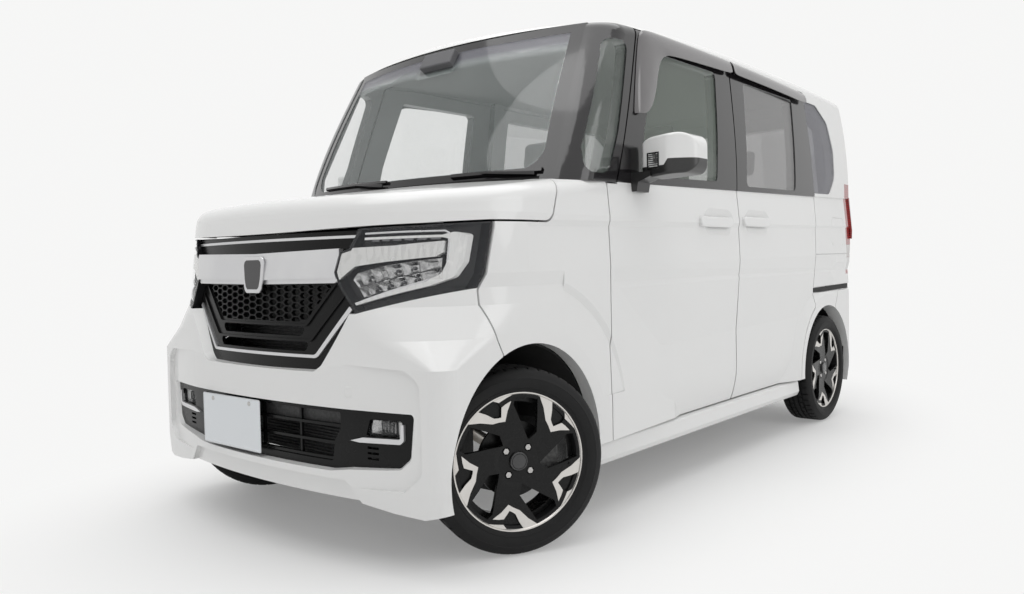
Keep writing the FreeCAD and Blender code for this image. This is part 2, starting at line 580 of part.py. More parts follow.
# Headlamp: a clear lens over a hollow housing, in which the chrome bar runs on above two light guides.
lamp = nose_skin.common(lamp_prism)
LAMP_INSIDE = [(464, 1004), (417, 911), (387, 903), (372, 852), (384, 822), (446, 740), (681, 802), (800, 834),
               (800, 1004)]
lamp_inner = body_loft(LOWER_SECTIONS, 3, True)
lamp_hollow = lamp_inner.cut(body_loft(LOWER_SECTIONS, 34, True)).common(front_prism(LAMP_INSIDE))
lamp_hollow = lamp_hollow.common(side_prism([(y - 6, z) for y, z in SPLIT_LINE] + [(-1374, 0), (-2000, 0), (-2000, 1200)],
                                            0, -FAR, FAR))
lamp_hollow = lamp_hollow.cut(bonnet_space(GAP + 5))
lens = lamp.cut(lamp_inner)
housing = lamp.common(lamp_inner).cut(lamp_hollow)
shaped("headlamp_lenses", lens, mirrored(lens))
shaped("headlamps", housing, mirrored(housing))
LAMP_BAR = [(383, 829), (432, 866), (506, 876), (621, 889), (634, 900), (634, 933), (530, 922), (390, 917), (374, 852)]
GUIDE = [(455, 946), (630, 950), (650, 958), (672, 952), (669, 872), (655, 830), (612, 808), (440, 757), (436, 764),
         (606, 820), (634, 842), (644, 880), (644, 938), (630, 943), (455, 939)]
guide_depth = lamp_inner.cut(body_loft(LOWER_SECTIONS, 14, True))
lamp_bar = guide_depth.common(front_prism(LAMP_BAR))
light_guide = guide_depth.common(front_prism(GUIDE, [0, 0, 8, 10, 20, 20, 20, 0, 0, 12, 14, 20, 4, 4, 0]))
guides = lamp_hollow.common(lamp_bar), lamp_hollow.common(light_guide)
shaped("headlamp_guides", guides[0], guides[1], mirrored(guides[0]), mirrored(guides[1]))

# Satin chrome: the broad bar between the lamps, a thin bar above it and the V round the grille.
BAR = [(0, 817), (361, 820), (379, 829), (366, 851), (379, 900), (378, 918), (0, 911)]
bar_half = below_bonnet.cut(body_loft(LOWER_SECTIONS, 16, True)).common(front_prism(BAR))
bevel = front_prism([(0, 810), (361, 813), (384, 822), (384, 831), (361, 834), (0, 830)])
bar_half = bar_half.cut(bevel.cut(body_loft(LOWER_SECTIONS, 7, True))).cut(lamp)
chrome_bar = bar_half.fuse(mirrored(bar_half)).removeSplitter()
thin_bar = upper_plate(19, 31, 947, 955).common(block(-424, 424, -FAR, 0, 940, 960))
V_TRIM = [(407, 744), (276, 601), (-276, 601), (-407, 744), (-397, 753), (-268, 610), (268, 610), (397, 753)]
v_trim = upper_plate(17, 26).common(front_prism(V_TRIM, [0, 30, 30, 0, 0, 22, 22, 0])).common(v_opening)
FOG_TRIM = [(406, 374), (440, 371), (582, 377), (594, 388), (594, 432), (585, 432), (582, 391), (452, 386)]
fog_trim = lower_plate(17, 28).common(front_prism(FOG_TRIM, [0, 0, 8, 8, 0, 0, 6, 0]))
shaped("chrome_trim", chrome_bar, thin_bar, v_trim, fog_trim, mirrored(fog_trim))

# Honeycomb grille: one pressed panel with long six-sided cells, two slots below them and raised edges.
CELL_COLUMN, CELL_ROW = 36, 20.8
SLOTS = [(664, 692, 205, 228), (619, 647, 222, 244)]
cell_field = Part.Face(rounded(mirror_points([(222, 706), (332, 815)])))
cells = []
for column in range(-9, 10):
    for row in range(7):
        x = column * CELL_COLUMN
        z = 700 + (row + 0.5 * (column % 2)) * CELL_ROW
        hexagon = Part.Face(rounded([(x - 20, z), (x - 11, z - 8.6), (x + 11, z - 8.6), (x + 20, z),
                                     (x + 11, z + 8.6), (x - 11, z + 8.6)])).common(cell_field)
        cells.extend(f for f in hexagon.Faces if f.Area > 60)
slots = [Part.Face(rounded(mirror_points([(x0, z0), (x1, z1)]), 10)) for z0, z1, x0, x1 in SLOTS]
holes = Part.makeCompound(cells + slots)
holes.Placement = Placement(Vector(0, -1500, 0), Rotation(Vector(1, 0, 0), Vector(0, 0, 1), Vector(0, -1, 0)))
grille_panel = upper_plate(22, 34).cut(holes.extrude(Vector(0, -250, 0)))
EDGES = [
    [(349, 815), (233, 693), (-233, 693), (-349, 815), (-340, 815), (-229, 700), (229, 700), (340, 815)],
    [(384, 785), (251, 648), (-251, 648), (-384, 785), (-375, 785), (-247, 655), (247, 655), (375, 785)],
]
for edge in EDGES:
    grille_panel = grille_panel.fuse(upper_plate(16, 23).common(front_prism(edge, [0, 25, 25, 0, 0, 20, 20, 0])))
upper_grille = grille_panel.common(v_opening).cut(chrome_bar).cut(thin_bar).cut(v_trim)
upper_grille = upper_grille.cut(lamp).cut(mirrored(lamp))
shaped("upper_grille", upper_grille)

# Lower grille: a recessed fascia with three slats in the middle and a lamp pocket and slots at each end.
MIDDLE = [(330, 306), (338, 365), (362, 402), (364, 450)]
fascia = lower_plate(24, 38).common(lower_opening).cut(front_prism(mirror_points(MIDDLE), 8))
pocket = front_prism([(458, 389), (584, 393), (584, 440), (474, 438)], 6)
fascia = fascia.cut(pocket).cut(mirrored(pocket)).cut(fog_trim).cut(mirrored(fog_trim))
for slot_z in (324, 339, 354):
    slot = front_prism([(462, slot_z), (502, slot_z), (502, slot_z + 7), (462, slot_z + 7)])
    fascia = fascia.cut(slot).cut(mirrored(slot))
slats = [front_prism([(-380, z - 4), (380, z - 4), (380, z + 4), (-380, z + 4)]) for z in (313, 360, 410)]
ribs = [front_prism([(x - 4, 300), (x + 4, 300), (x + 4, 455), (x - 4, 455)]) for x in (-185, 0, 185)]
lower_grille = fascia.fuse([lower_plate(26, 40).common(slat) for slat in slats])
lower_grille = lower_grille.fuse([lower_plate(32, 40).common(rib) for rib in ribs]).cut(wells)
shaped("lower_grille", lower_grille)
fog_lens = lower_plate(30, 41).common(front_prism([(460, 391), (578, 395), (578, 438), (476, 436)], 6))
fog_lens = fog_lens.cut(lower_grille).cut(bumper)
shaped("fog_lamps", fog_lens, mirrored(fog_lens))

bumper_end = side_prism([(1408, 0), (1408, 603), (1453, 687), (FAR, 693), (FAR, 0)], 0, size("tailgate_half_width") + GAP)
bumper_zone = block(-FAR, FAR, 1408, FAR, 0, 612).fuse([bumper_end, mirrored(bumper_end)])
rear_bumper = body_outer.cut(block(-660, 660, 0, 1640, 0, 1000)).common(bumper_zone).cut(wells)
shaped("rear_bumper", rear_bumper)

# Cowl: the tray between bonnet and windscreen, with the bulkhead below it.
cowl_top = body_loft(LOWER_SECTIONS, size("nose_wall"), True).cut(above_crown(BONNET_CROWN, 6))
cowl_top = cowl_top.cut(bonnet_rear.translated(Vector(0, GAP, 0)).extrude(Vector(0, 0, FAR)))
cowl_top = cowl_top.common(block(-FAR, FAR, -1200, size("firewall_y"), 1080, FAR)).cut(greenhouse(4))
cowl_beam = greenhouse(4).cut(greenhouse(60)).common(block(-596, 596, -1200, size("firewall_y"), 1100, 1150))
bulkhead = block(-596, 596, size("firewall_y") - 12, size("firewall_y"), FLOOR_Z - 50, 1100)
bridge = block(-596, 596, -1075, size("firewall_y"), 1080, 1104)
cowl = bulkhead.fuse([bridge, cowl_beam, cowl_top]).removeSplitter().cut(wells)
cowl = cowl.cut(front_pillar).cut(mirrored(front_pillar)).cut(fender).cut(mirrored(fender))
shaped("cowl_and_bulkhead", cowl)

# ---------------------------------------------------------------- floor, skirts and wheel wells

floor = block(-FLOOR_X, FLOOR_X, size("firewall_y"), 1640, FLOOR_Z - 50, FLOOR_Z)
for side in (-1, 1):
    x0, x1 = sorted((side * 560, side * FLOOR_X))
    floor = floor.fuse(block(x0, x1, -860, 930, 185, FLOOR_Z))
for beam_y in (-700, 520, 820):
    floor = floor.fuse(block(-560, 560, beam_y, beam_y + 60, 250, FLOOR_Z - 50))
floor = floor.removeSplitter().cut(wells)
shaped("floor_pan", floor)

skirt = front_prism([(FLOOR_X, 182), (700, 176), (712, 200), (706, 250), (690, 256), (FLOOR_X, 256)],
                    [0, 12, 12, 10, 0, 0], -872, 938)
skirt = skirt.cut(wells)
shaped("side_skirts", skirt, mirrored(skirt))


def well_liner(wheel_y, radius, x_in, x_out, wall_floor):
    liner = across(wheel_y, AXLE_Z, radius, x_in, x_out).cut(across(wheel_y, AXLE_Z, radius - 6, x_in + 6, x_out))
    return liner.cut(block(0, 900, wheel_y - 500, wheel_y + 500, -400, wall_floor))



# ---------------------------------------------------------------- wheels

def sketch(body, name, plane, edges, lift=0):
    """A sketch on, or lifted off, one of the body's origin planes from lines and arcs of 2-D points."""
    drawing = body.newObject("Sketcher::SketchObject", name)
    drawing.AttachmentOffset = Placement(Vector(0, 0, lift), Rotation())
    drawing.AttachmentSupport = [(next(f for f in body.Origin.OriginFeatures if f.Role == plane), "")]
    drawing.MapMode = "FlatFace"
    for points in edges:
        places = [Vector(x, y, 0) for x, y in points]
        if len(places) == 2:
            drawing.addGeometry(Part.LineSegment(*places), False)
        else:
            drawing.addGeometry(Part.Arc(*places), False)
    return drawing


def closed(points):
    """Straight edges round a polygon."""
    return [(points[i], points[(i + 1) % len(points)]) for i in range(len(points))]


def revolve(body, name, drawing):
    turned = body.newObject("PartDesign::Revolution", name)
    turned.Profile = drawing
    turned.ReferenceAxis = (drawing, ["V_Axis"])
    turned.Angle = 360
    return turned


# Sections are drawn as (radius, distance outboard of the tyre's centre plane).
TYRE, SEAT, HALF_RIM = size("tyre_radius"), size("rim_radius"), size("rim_half_width")
BULGE, FACE = size("tyre_half_width"), size("wheel_offset")
FLANGE = 208
# Sidewalls bulge along few short edges, so that the tyre stays light.
SIDEWALL = [(FLANGE, HALF_RIM + 7), (220, BULGE - 4), (240, BULGE), (262, 76), (273, 68), (TYRE, 52)]
TYRE_SECTION = closed(SIDEWALL + [(r, -z) for r, z in SIDEWALL[::-1]] + [
    (FLANGE, -HALF_RIM), (SEAT, -HALF_RIM), (SEAT, HALF_RIM), (FLANGE, HALF_RIM)])
HUB, FACE_Z = size("hub_radius"), 65
# Face, flanges and bead seats of the rim, then the wheel bolt face, brake disc and hub that turn with it.
RIM_SECTION = closed([
    (0, 61), (28, 61), (31, 57), (64, 57), (76, 60), (150, FACE_Z), (200, FACE_Z - 1), (204, HALF_RIM + 5),
    (FLANGE, HALF_RIM + 5), (FLANGE, HALF_RIM), (SEAT, HALF_RIM), (SEAT, -HALF_RIM), (FLANGE, -HALF_RIM),
    (FLANGE, -HALF_RIM - 5), (196, -HALF_RIM - 5), (182, -60), (178, 20), (172, 44), (150, 50), (78, 46),
    (68, FACE - 10), (62, 30), (62, 22), (115, 22), (115, 12), (50, 12), (48, 6), (HUB, 6), (HUB, -30), (0, -30),
])
# Each of the five spokes is drawn as (radius, degrees from its leading edge), going clockwise seen from outside.
FIRST_SPOKE, SPOKES = 69, 5
WINDOW = [(196, -49), (197, -70), (101, -87), (69, -79), (99, -61), (172, -46)]
POCKET = [(197, -13), (156, -21), (147, -29), (174, -33), (188, -32), (197, -28)]
NUT_ANGLES, NUT_CIRCLE = (50, 140, 230, 320), 50


def spoke_points(outline):
    angles = [(r, math.radians(FIRST_SPOKE + degrees)) for r, degrees in outline]
    return [(-r * math.sin(angle), r * math.cos(angle)) for r, angle in angles]


def make_wheel(label, side, y, steered):
    """Tyre and rim share the wheel's axis, which is the local Z of their bodies."""
    place = Placement(Vector(side * WHEEL_X, y, AXLE_Z), Rotation(Vector(0, 1, 0), side * 90))
    if steered:
        turn = Placement(Vector(0, 0, 0), Rotation(Vector(0, 0, 1), -size("steer_now")),
                         Vector(side * size("kingpin_x"), y, 0))
        place = turn.multiply(place)
    tyre = doc.addObject("PartDesign::Body", "Tyre")
    revolve(tyre, "Tread", sketch(tyre, "TyreSection", "XZ_Plane", TYRE_SECTION))
    tyre.Placement = place
    keep(tyre, label + "_tyre")
    rim = doc.addObject("PartDesign::Body", "Rim")
    revolve(rim, "Barrel", sketch(rim, "RimSection", "XZ_Plane", RIM_SECTION))
    for name, outline, floor in (("Window", WINDOW, 32), ("Pocket", POCKET, FACE_Z - 9)):
        cut = rim.newObject("PartDesign::Pocket", name)
        cut.Profile = sketch(rim, name + "Outline", "XY_Plane", closed(spoke_points(outline)), floor)
        cut.Type = 0
        cut.Length = 100
        cut.Reversed = True
        doc.recompute()
        pattern = rim.newObject("PartDesign::PolarPattern", name + "s")
        pattern.Originals = [cut]
        pattern.Axis = (next(f for f in rim.Origin.OriginFeatures if f.Role == "Z_Axis"), [""])
        pattern.Angle = 360
        pattern.Occurrences = SPOKES
        rim.Tip = pattern
        doc.recompute()
    bolts = sketch(rim, "BoltWells", "XY_Plane", [], FACE_Z - 22)
    for degrees in NUT_ANGLES:
        x, y = -NUT_CIRCLE * math.sin(math.radians(degrees)), NUT_CIRCLE * math.cos(math.radians(degrees))
        bolts.addGeometry(Part.Circle(Vector(x, y, 0), Vector(0, 0, 1), 12), False)
    wells_cut = rim.newObject("PartDesign::Pocket", "BoltPockets")
    wells_cut.Profile = bolts
    wells_cut.Type = 0
    wells_cut.Length = 60
    wells_cut.Reversed = True
    doc.recompute()
    rim.Tip = wells_cut
    rim.Placement = place
    keep(rim, label + "_rim")
    return place


WHEELS = [
    ("front_left", 1, FRONT_Y, True),
    ("front_right", -1, FRONT_Y, True),
    ("rear_left", 1, REAR_Y, False),
    ("rear_right", -1, REAR_Y, False),
]
for wheel_label, wheel_side, wheel_y, is_steered in WHEELS:
    make_wheel(wheel_label, wheel_side, wheel_y, is_steered)

# ---------------------------------------------------------------- knuckles, suspension and axle

KING = size("kingpin_x")


RUNNING = 0.08


def knuckle():
    """Left knuckle pointing straight ahead: hub bearing, upright with two pivot pins, and brake caliper."""
    x, y, z = KING, FRONT_Y, AXLE_Z
    bearing = across(y, z, 44, WHEEL_X - 28, WHEEL_X + 2)
    upright = block(x - 22, x + 14, y - 20, y + 20, z - 88, z + 88)
    pins = rod((x, y, z - 118), (x, y, z + 118), 9)
    carrier = block(WHEEL_X - 28, WHEEL_X + 2, y + 20, y + 139, z - 34, z + 34)
    caliper = block(WHEEL_X - 28, WHEEL_X + 36, y + 121, y + 139, z - 40, z + 40)
    outer_pad = block(WHEEL_X + 28, WHEEL_X + 36, y + 80, y + 139, z - 34, z + 34)
    body = bearing.fuse([upright, pins, carrier, caliper, outer_pad]).removeSplitter()
    return body.cut(across(y, z, HUB + RUNNING, 0, 900)).cut(across(y, z, 74, WHEEL_X + 3, 900))


left_knuckle = knuckle()
for knuckle_label, shape, pivot_x in (("knuckle_left", left_knuckle, KING),
                                      ("knuckle_right", mirrored(left_knuckle), -KING)):
    turned = shape.copy()
    turned.rotate(Vector(pivot_x, FRONT_Y, 0), Vector(0, 0, 1), -size("steer_now"))
    shaped(knuckle_label, turned)

# Lower arms, cross-member, the two rails and the beam behind the bumper.
ARM_Z = AXLE_Z - 112
STRUT_X = 478
pin_holes = rod((KING, FRONT_Y, 0), (KING, FRONT_Y, 600), 9 + RUNNING)
lower_arm = plan_prism([(KING + 4, FRONT_Y - 14), (KING + 4, FRONT_Y + 14), (500, FRONT_Y + 18), (340, FRONT_Y + 180),
                        (340, FRONT_Y - 60), (480, FRONT_Y - 20)], 0, ARM_Z, ARM_Z + 15)
lower_arm = lower_arm.fuse(Part.makeCylinder(20, 15, Vector(KING, FRONT_Y, ARM_Z))).cut(pin_holes)
rail = block(340, 385, -1640, size("firewall_y") - 12, 400, 480)
rail = rail.fuse(block(345, 380, FRONT_Y + 20, FRONT_Y + 120, ARM_Z, 400))
rail = rail.common(bay)
subframe = block(-345, 345, FRONT_Y - 70, FRONT_Y + 190, ARM_Z, ARM_Z + 45)
subframe = subframe.fuse(block(-60, 60, FRONT_Y - 40, FRONT_Y + 80, ARM_Z + 45, 300))
crash_beam = bay.common(block(-440, 440, -FAR, -1560, 405, 475))
subframe = subframe.fuse([rail, mirrored(rail), lower_arm, mirrored(lower_arm), crash_beam]).removeSplitter()
shaped("front_subframe", subframe)

# Struts stand in the wheel wells inboard of the tyres and reach the upper pivots inside the rims.
strut = rod((STRUT_X, FRONT_Y, AXLE_Z + 70), (STRUT_X, FRONT_Y, 640), 24)
strut = strut.fuse(block(STRUT_X, KING + 4, FRONT_Y - 14, FRONT_Y + 14, AXLE_Z + 97, AXLE_Z + 112))
strut = strut.fuse(Part.makeCylinder(20, 15, Vector(KING, FRONT_Y, AXLE_Z + 97)))
spring = [(0, 462), (48, 462), (48, 469)]
for coil in range(6):
    spring += [(33, 470 + coil * 22), (44, 474 + coil * 22), (44, 480 + coil * 22), (33, 484 + coil * 22)]
spring = Part.Face(rounded(spring + [(0, 600)])).revolve(Vector(0, 0, 0), Vector(0, 1, 0), 360)
spring.Placement = Placement(Vector(STRUT_X, FRONT_Y, 0), Rotation(Vector(1, 0, 0), 90))
strut = strut.fuse(spring)
tower = block(STRUT_X - 60, STRUT_X + 60, FRONT_Y - 60, FRONT_Y + 60, 600, 660).cut(front_well)
strut = strut.fuse(tower).cut(pin_holes)
shaped("front_struts", strut, mirrored(strut))

front_liner = well_liner(FRONT_Y, size("front_arch"), size("front_well_x"), 690, 330).cut(strut)
rear_liner = well_liner(REAR_Y, size("rear_arch"), size("rear_well_x"), 668, 285)
shaped("wheel_wells", front_liner, rear_liner, mirrored(front_liner), mirrored(rear_liner))

# Twist beam: a cross tube between two trailing arms that carry the hub bearings.
trailing = block(468, 520, 900, REAR_Y + 40, 235, 280).fuse(block(475, 513, 900, 940, 235, FLOOR_Z - 50))
trailing = trailing.fuse(block(468, 612, REAR_Y - 40, REAR_Y + 40, 235, 280))
spindle = across(REAR_Y, AXLE_Z, 44, 598, WHEEL_X + 2).fuse(across(REAR_Y, AXLE_Z, 95, WHEEL_X - 34, WHEEL_X - 26))
cross_tube = across(1010, 254, 32, -480, 480)
rear_axle = cross_tube.fuse([trailing, mirrored(trailing), spindle, mirrored(spindle)]).removeSplitter()
hub_seat = across(REAR_Y, AXLE_Z, HUB + RUNNING, WHEEL_X - 36, 900)
rear_axle = rear_axle.cut(hub_seat).cut(mirrored(hub_seat))
shaped("rear_axle", rear_axle)

# ---------------------------------------------------------------- engine, tank, exhaust

engine = bind(doc.addObject("Part::Box", "Engine"), Length="660", Width="400", Height="520")
engine.Placement = Placement(Vector(-330, -1500, 300), Rotation())
keep(engine, "engine")
tank = plan_prism([(-330, -420), (330, -420), (330, 330), (-330, 330)], 60, 195, FLOOR_Z - 50)
shaped("fuel_tank", tank)

EXHAUST_ROUTE = [(250, -1100, 340), (300, -960, 235), (430, -860, 194), (430, 1180, 194), (260, 1420, 222)]
TAILPIPE_ROUTE = [(-180, 1420, 222), (-300, 1450, 205), (-300, 1560, 150), (-300, 1668, 144)]
exhaust = rod((270, 1420, 222), (-190, 1420, 222), 60)
for route in (EXHAUST_ROUTE, TAILPIPE_ROUTE):
    for start, end in zip(route, route[1:]):
        exhaust = exhaust.fuse(rod(start, end, 22))
    for bend in route[1:-1]:
        exhaust = exhaust.fuse(Part.makeSphere(22, Vector(*bend)))
for hanger_x, hanger_y in ((430, 300), (40, 1420)):
    exhaust = exhaust.fuse(rod((hanger_x, hanger_y, 200), (hanger_x, hanger_y, FLOOR_Z - 50), 8))
shaped("exhaust", exhaust.cut(Part.makeBox(660, 400, 520, Vector(-330, -1500, 300))))

# ---------------------------------------------------------------- interior

dash_side = [(size("firewall_y"), 760), (-800, 640), (-740, 700), (-700, 930), (-790, 1075), (-960, 1100),
             (size("firewall_y"), 1100)]
dashboard = side_prism(dash_side, [0, 20, 30, 40, 40, 0, 0], -590, 590)
shaped("dashboard", dashboard)

wheel_centre, column_way = Vector(-340, -560, 960), Vector(0, 0.86, 0.5)
rim_section = [(178 + 15 * math.cos(t * math.pi / 4), 15 * math.sin(t * math.pi / 4)) for t in range(8)]
steering = Part.Face(rounded(rim_section)).revolve(Vector(0, 0, 0), Vector(0, 1, 0), 360)
steering.rotate(Vector(0, 0, 0), Vector(1, 0, 0), 90)
steering.Placement = Placement(wheel_centre, Rotation(Vector(0, 0, 1), column_way)).multiply(steering.Placement)
steering = steering.fuse(Part.makeCylinder(62, 26, wheel_centre - column_way * 30, column_way))
for spoke_turn in (0, 180, 270):
    spoke = block(40, 176, -14, 14, -12, 0)
    spoke.rotate(Vector(0, 0, 0), Vector(0, 0, 1), spoke_turn)
    spoke.Placement = Placement(wheel_centre, Rotation(Vector(0, 0, 1), column_way)).multiply(spoke.Placement)
    steering = steering.fuse(spoke)
steering = steering.fuse(Part.makeCylinder(24, 330, wheel_centre - column_way * 30, column_way * -1))
steering = steering.cut(dashboard)
shaped("steering_wheel", steering)


def seat(x, y, width, top, height):
    """Cushion, back and headrest of one seat as a single padded form on its base."""
    cushion = side_prism([(y - 260, top - 130), (y + 250, top - 130), (y + 250, top - 10), (y - 260, top)],
                         [40, 30, 30, 45], x - width / 2, x + width / 2)
    back = side_prism([(y + 190, top - 120), (y + 300, top - 120), (y + 420, top + height), (y + 320, top + height)],
                      [30, 30, 40, 40], x - width / 2 + 10, x + width / 2 - 10)
    head = side_prism([(y + 340, top + height + 20), (y + 420, top + height + 20), (y + 440, top + height + 190),
                       (y + 360, top + height + 190)], 28, x - 125, x + 125)
    posts = [rod((x + dx, y + 376, top + height - 40), (x + dx, y + 384, top + height + 60), 7) for dx in (-60, 60)]
    base = block(x - width / 2 + 60, x + width / 2 - 60, y - 180, y + 200, FLOOR_Z, top - 130)
    return cushion.fuse([back, head, base] + posts).removeSplitter()


seat_top = size("seat_top_z")
shaped("front_seats", seat(-320, -190, 500, seat_top, 560), seat(320, -190, 500, seat_top, 560))
shaped("rear_seats", seat(-272, 800, 520, seat_top, 540), seat(272, 800, 520, seat_top, 540))

# ---------------------------------------------------------------- checks and export

doc.recompute()
for obj in doc.Objects:
    if "Invalid" in obj.State or "Error" in obj.State:
        raise RuntimeError(f"{obj.Name} failed: {obj.State}")
os.makedirs("parts", exist_ok=True)
for obj in finished:
    shape = obj.Shape
    if shape.isNull() or not shape.isValid():
        raise RuntimeError(f"{obj.Label} has no valid shape")
    if not shape.Solids:
        raise RuntimeError(f"{obj.Label} has no solid")
for obj in finished:
    obj.Shape.exportStep(f"parts/{obj.Label}.step")
print(len(finished), "parts written")
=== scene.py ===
import math
from contextlib import contextmanager
from functools import partialmethod

import bpy
from mathutils import Euler, Matrix, Vector
from mathutils.bvhtree import BVHTree


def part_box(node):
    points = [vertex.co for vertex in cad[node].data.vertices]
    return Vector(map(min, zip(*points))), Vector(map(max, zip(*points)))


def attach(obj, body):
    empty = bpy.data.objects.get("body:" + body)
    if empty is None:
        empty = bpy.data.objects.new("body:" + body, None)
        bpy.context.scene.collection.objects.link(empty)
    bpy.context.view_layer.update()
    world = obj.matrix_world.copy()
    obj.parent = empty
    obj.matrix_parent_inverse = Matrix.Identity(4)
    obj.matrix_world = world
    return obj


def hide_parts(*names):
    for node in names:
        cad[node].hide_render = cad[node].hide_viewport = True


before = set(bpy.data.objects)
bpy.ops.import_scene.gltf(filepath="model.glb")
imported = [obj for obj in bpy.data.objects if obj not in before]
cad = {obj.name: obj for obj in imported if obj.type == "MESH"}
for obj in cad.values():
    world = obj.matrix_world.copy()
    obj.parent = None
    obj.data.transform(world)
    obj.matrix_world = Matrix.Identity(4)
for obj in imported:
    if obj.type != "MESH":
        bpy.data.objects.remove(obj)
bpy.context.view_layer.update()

# ---- Camera. It stands low beside the left headlamp and looks a little up along the
# car's left flank, so the nose is near and large.
scene = bpy.context.scene
scene.view_settings.view_transform = "Standard"
camera_data = bpy.data.cameras.new("camera")
camera_data.sensor_width = 36.0
camera_data.lens = 28.92
camera_data.clip_end = 80.0
camera = bpy.data.objects.new("camera", camera_data)
camera.location = (2.2508, -3.1284, 0.8620)
camera.rotation_euler = Euler((1.5316, 0.0204, 0.6963), "XYZ")
scene.collection.objects.link(camera)
scene.camera = camera


# ---- Studio. A white cove with a wide soft box overhead and two smaller ones at the side
# and the nose. The floor is matt and pale, and fades into the backdrop round the car.
class Flow:
    """A socket in shader maths: the operators on it add the Math nodes."""

    def __init__(self, shading, socket):
        self.shading, self.socket = shading, socket

    def maths(self, operation, *others):
        return self.shading.node("ShaderNodeMath", {"operation": operation}, self, *others)

    def after(self, operation, other):
        return self.shading.node("ShaderNodeMath", {"operation": operation}, other, self)

    __add__ = __radd__ = partialmethod(maths, "ADD")
    __mul__ = __rmul__ = partialmethod(maths, "MULTIPLY")
    __sub__, __rsub__ = partialmethod(maths, "SUBTRACT"), partialmethod(after, "SUBTRACT")
    __truediv__, __pow__ = partialmethod(maths, "DIVIDE"), partialmethod(maths, "POWER")
    __abs__, sine = partialmethod(maths, "ABSOLUTE"), partialmethod(maths, "SINE")
    least, most = partialmethod(maths, "MINIMUM"), partialmethod(maths, "MAXIMUM")

    def rise(self, start, end):
        """0 below start and 1 above end, with a smooth step between."""
        smoothly = {"interpolation_type": "SMOOTHSTEP"}
        return self.shading.node("ShaderNodeMapRange", smoothly, self, start, end, 0.0, 1.0)


class Shading:
    """A node tree that takes its nodes from Python expressions."""

    def __init__(self, tree):
        self.tree = tree

    def feed(self, socket, value):
        if isinstance(value, Flow):
            self.tree.links.new(value.socket, socket)
        else:
            socket.default_value = value

    def node(self, kind, settings=None, *values, output=0, **named):
        made = self.tree.nodes.new(kind)
        for key, value in (settings or {}).items():
            setattr(made, key, value)
        for index, value in enumerate(values):
            self.feed(made.inputs[index], value)
        for socket, value in named.items():
            self.feed(made.inputs[socket.replace("_", " ")], value)
        return Flow(self, made.outputs[output])

    def place(self, kind="Object", scale=None):
        found = self.node("ShaderNodeTexCoord", output=kind)
        return self.node("ShaderNodeMapping", {}, Vector=found, Scale=scale) if scale else found

    def axes(self, vector=None):
        vector = vector or self.place()
        return [self.node("ShaderNodeSeparateXYZ", {}, vector, output=axis) for axis in "XYZ"]

    def noise(self, scale, detail=3.0, stretch=None):
        place = self.place(scale=stretch)
        return self.node("ShaderNodeTexNoise", {}, Vector=place, Scale=scale, Detail=detail)

    def colour(self, factor, first, second):
        made = self.tree.nodes.new("ShaderNodeMix")
        made.data_type = "RGBA"
        for index, value in ((0, factor), (6, first), (7, second)):
            self.feed(made.inputs[index], value if isinstance(value, (Flow, float)) else (*value, 1))
        return Flow(self, made.outputs[2])

    def looked_at(self):
        """1 for the camera's rays and those that mirrors and glass send on, 0 for light's."""
        kinds = [f"Is {kind} Ray" for kind in ("Camera", "Glossy", "Transmission")]
        seen, mirrored, through_glass = [self.node("ShaderNodeLightPath", output=kind) for kind in kinds]
        return seen.most(mirrored).most(through_glass)


class Finish(Shading):
    """A material built as maths on the Principled shader's sockets."""

    def __init__(self, name, **constants):
        self.material = bpy.data.materials.new(name)
        self.material.use_nodes = True
        super().__init__(self.material.node_tree)
        self.shader = self.tree.nodes["Principled BSDF"]
        self.give(**constants)

    def give(self, **sockets):
        for socket, value in sockets.items():
            self.feed(self.shader.inputs[socket.replace("_", " ")], value)

    def two_tone(self, mask, dark, light, roughness, change):
        """Goes from dark to light with a mask, and changes the roughness by the same mask."""
        self.give(Base_Color=self.colour(mask, dark, light), Roughness=roughness + mask * change)

    def emboss(self, height, distance, strength=1.0):
        self.give(Normal=self.node("ShaderNodeBump", {}, Height=height, Distance=distance, Strength=strength))


BACKDROP = (0.925, 0.925, 0.92, 1)
floor_finish = Finish("studio_floor", Roughness=0.6, Specular_IOR_Level=0.2)
x, y, z = floor_finish.axes()
from_car = (x * x + y * y * 0.25) ** 0.5
fade = (from_car.rise(0.78, 1.60) * 0.78 + 0.22) * floor_finish.looked_at()
floor_finish.give(Base_Color=floor_finish.colour(
    floor_finish.noise(0.6), (0.90, 0.90, 0.895), (0.92, 0.92, 0.915)))
glow = floor_finish.node("ShaderNodeEmission", {}, Color=BACKDROP, Strength=1.0)
matt = Flow(floor_finish, floor_finish.shader.outputs[0])
faded = floor_finish.node("ShaderNodeMixShader", {}, fade, matt, glow)
floor_finish.feed(floor_finish.tree.nodes["Material Output"].inputs["Surface"], faded)
bpy.ops.mesh.primitive_plane_add(size=60)
studio_floor = bpy.context.object
studio_floor.name = "studio_floor"
studio_floor.data.materials.append(floor_finish.material)

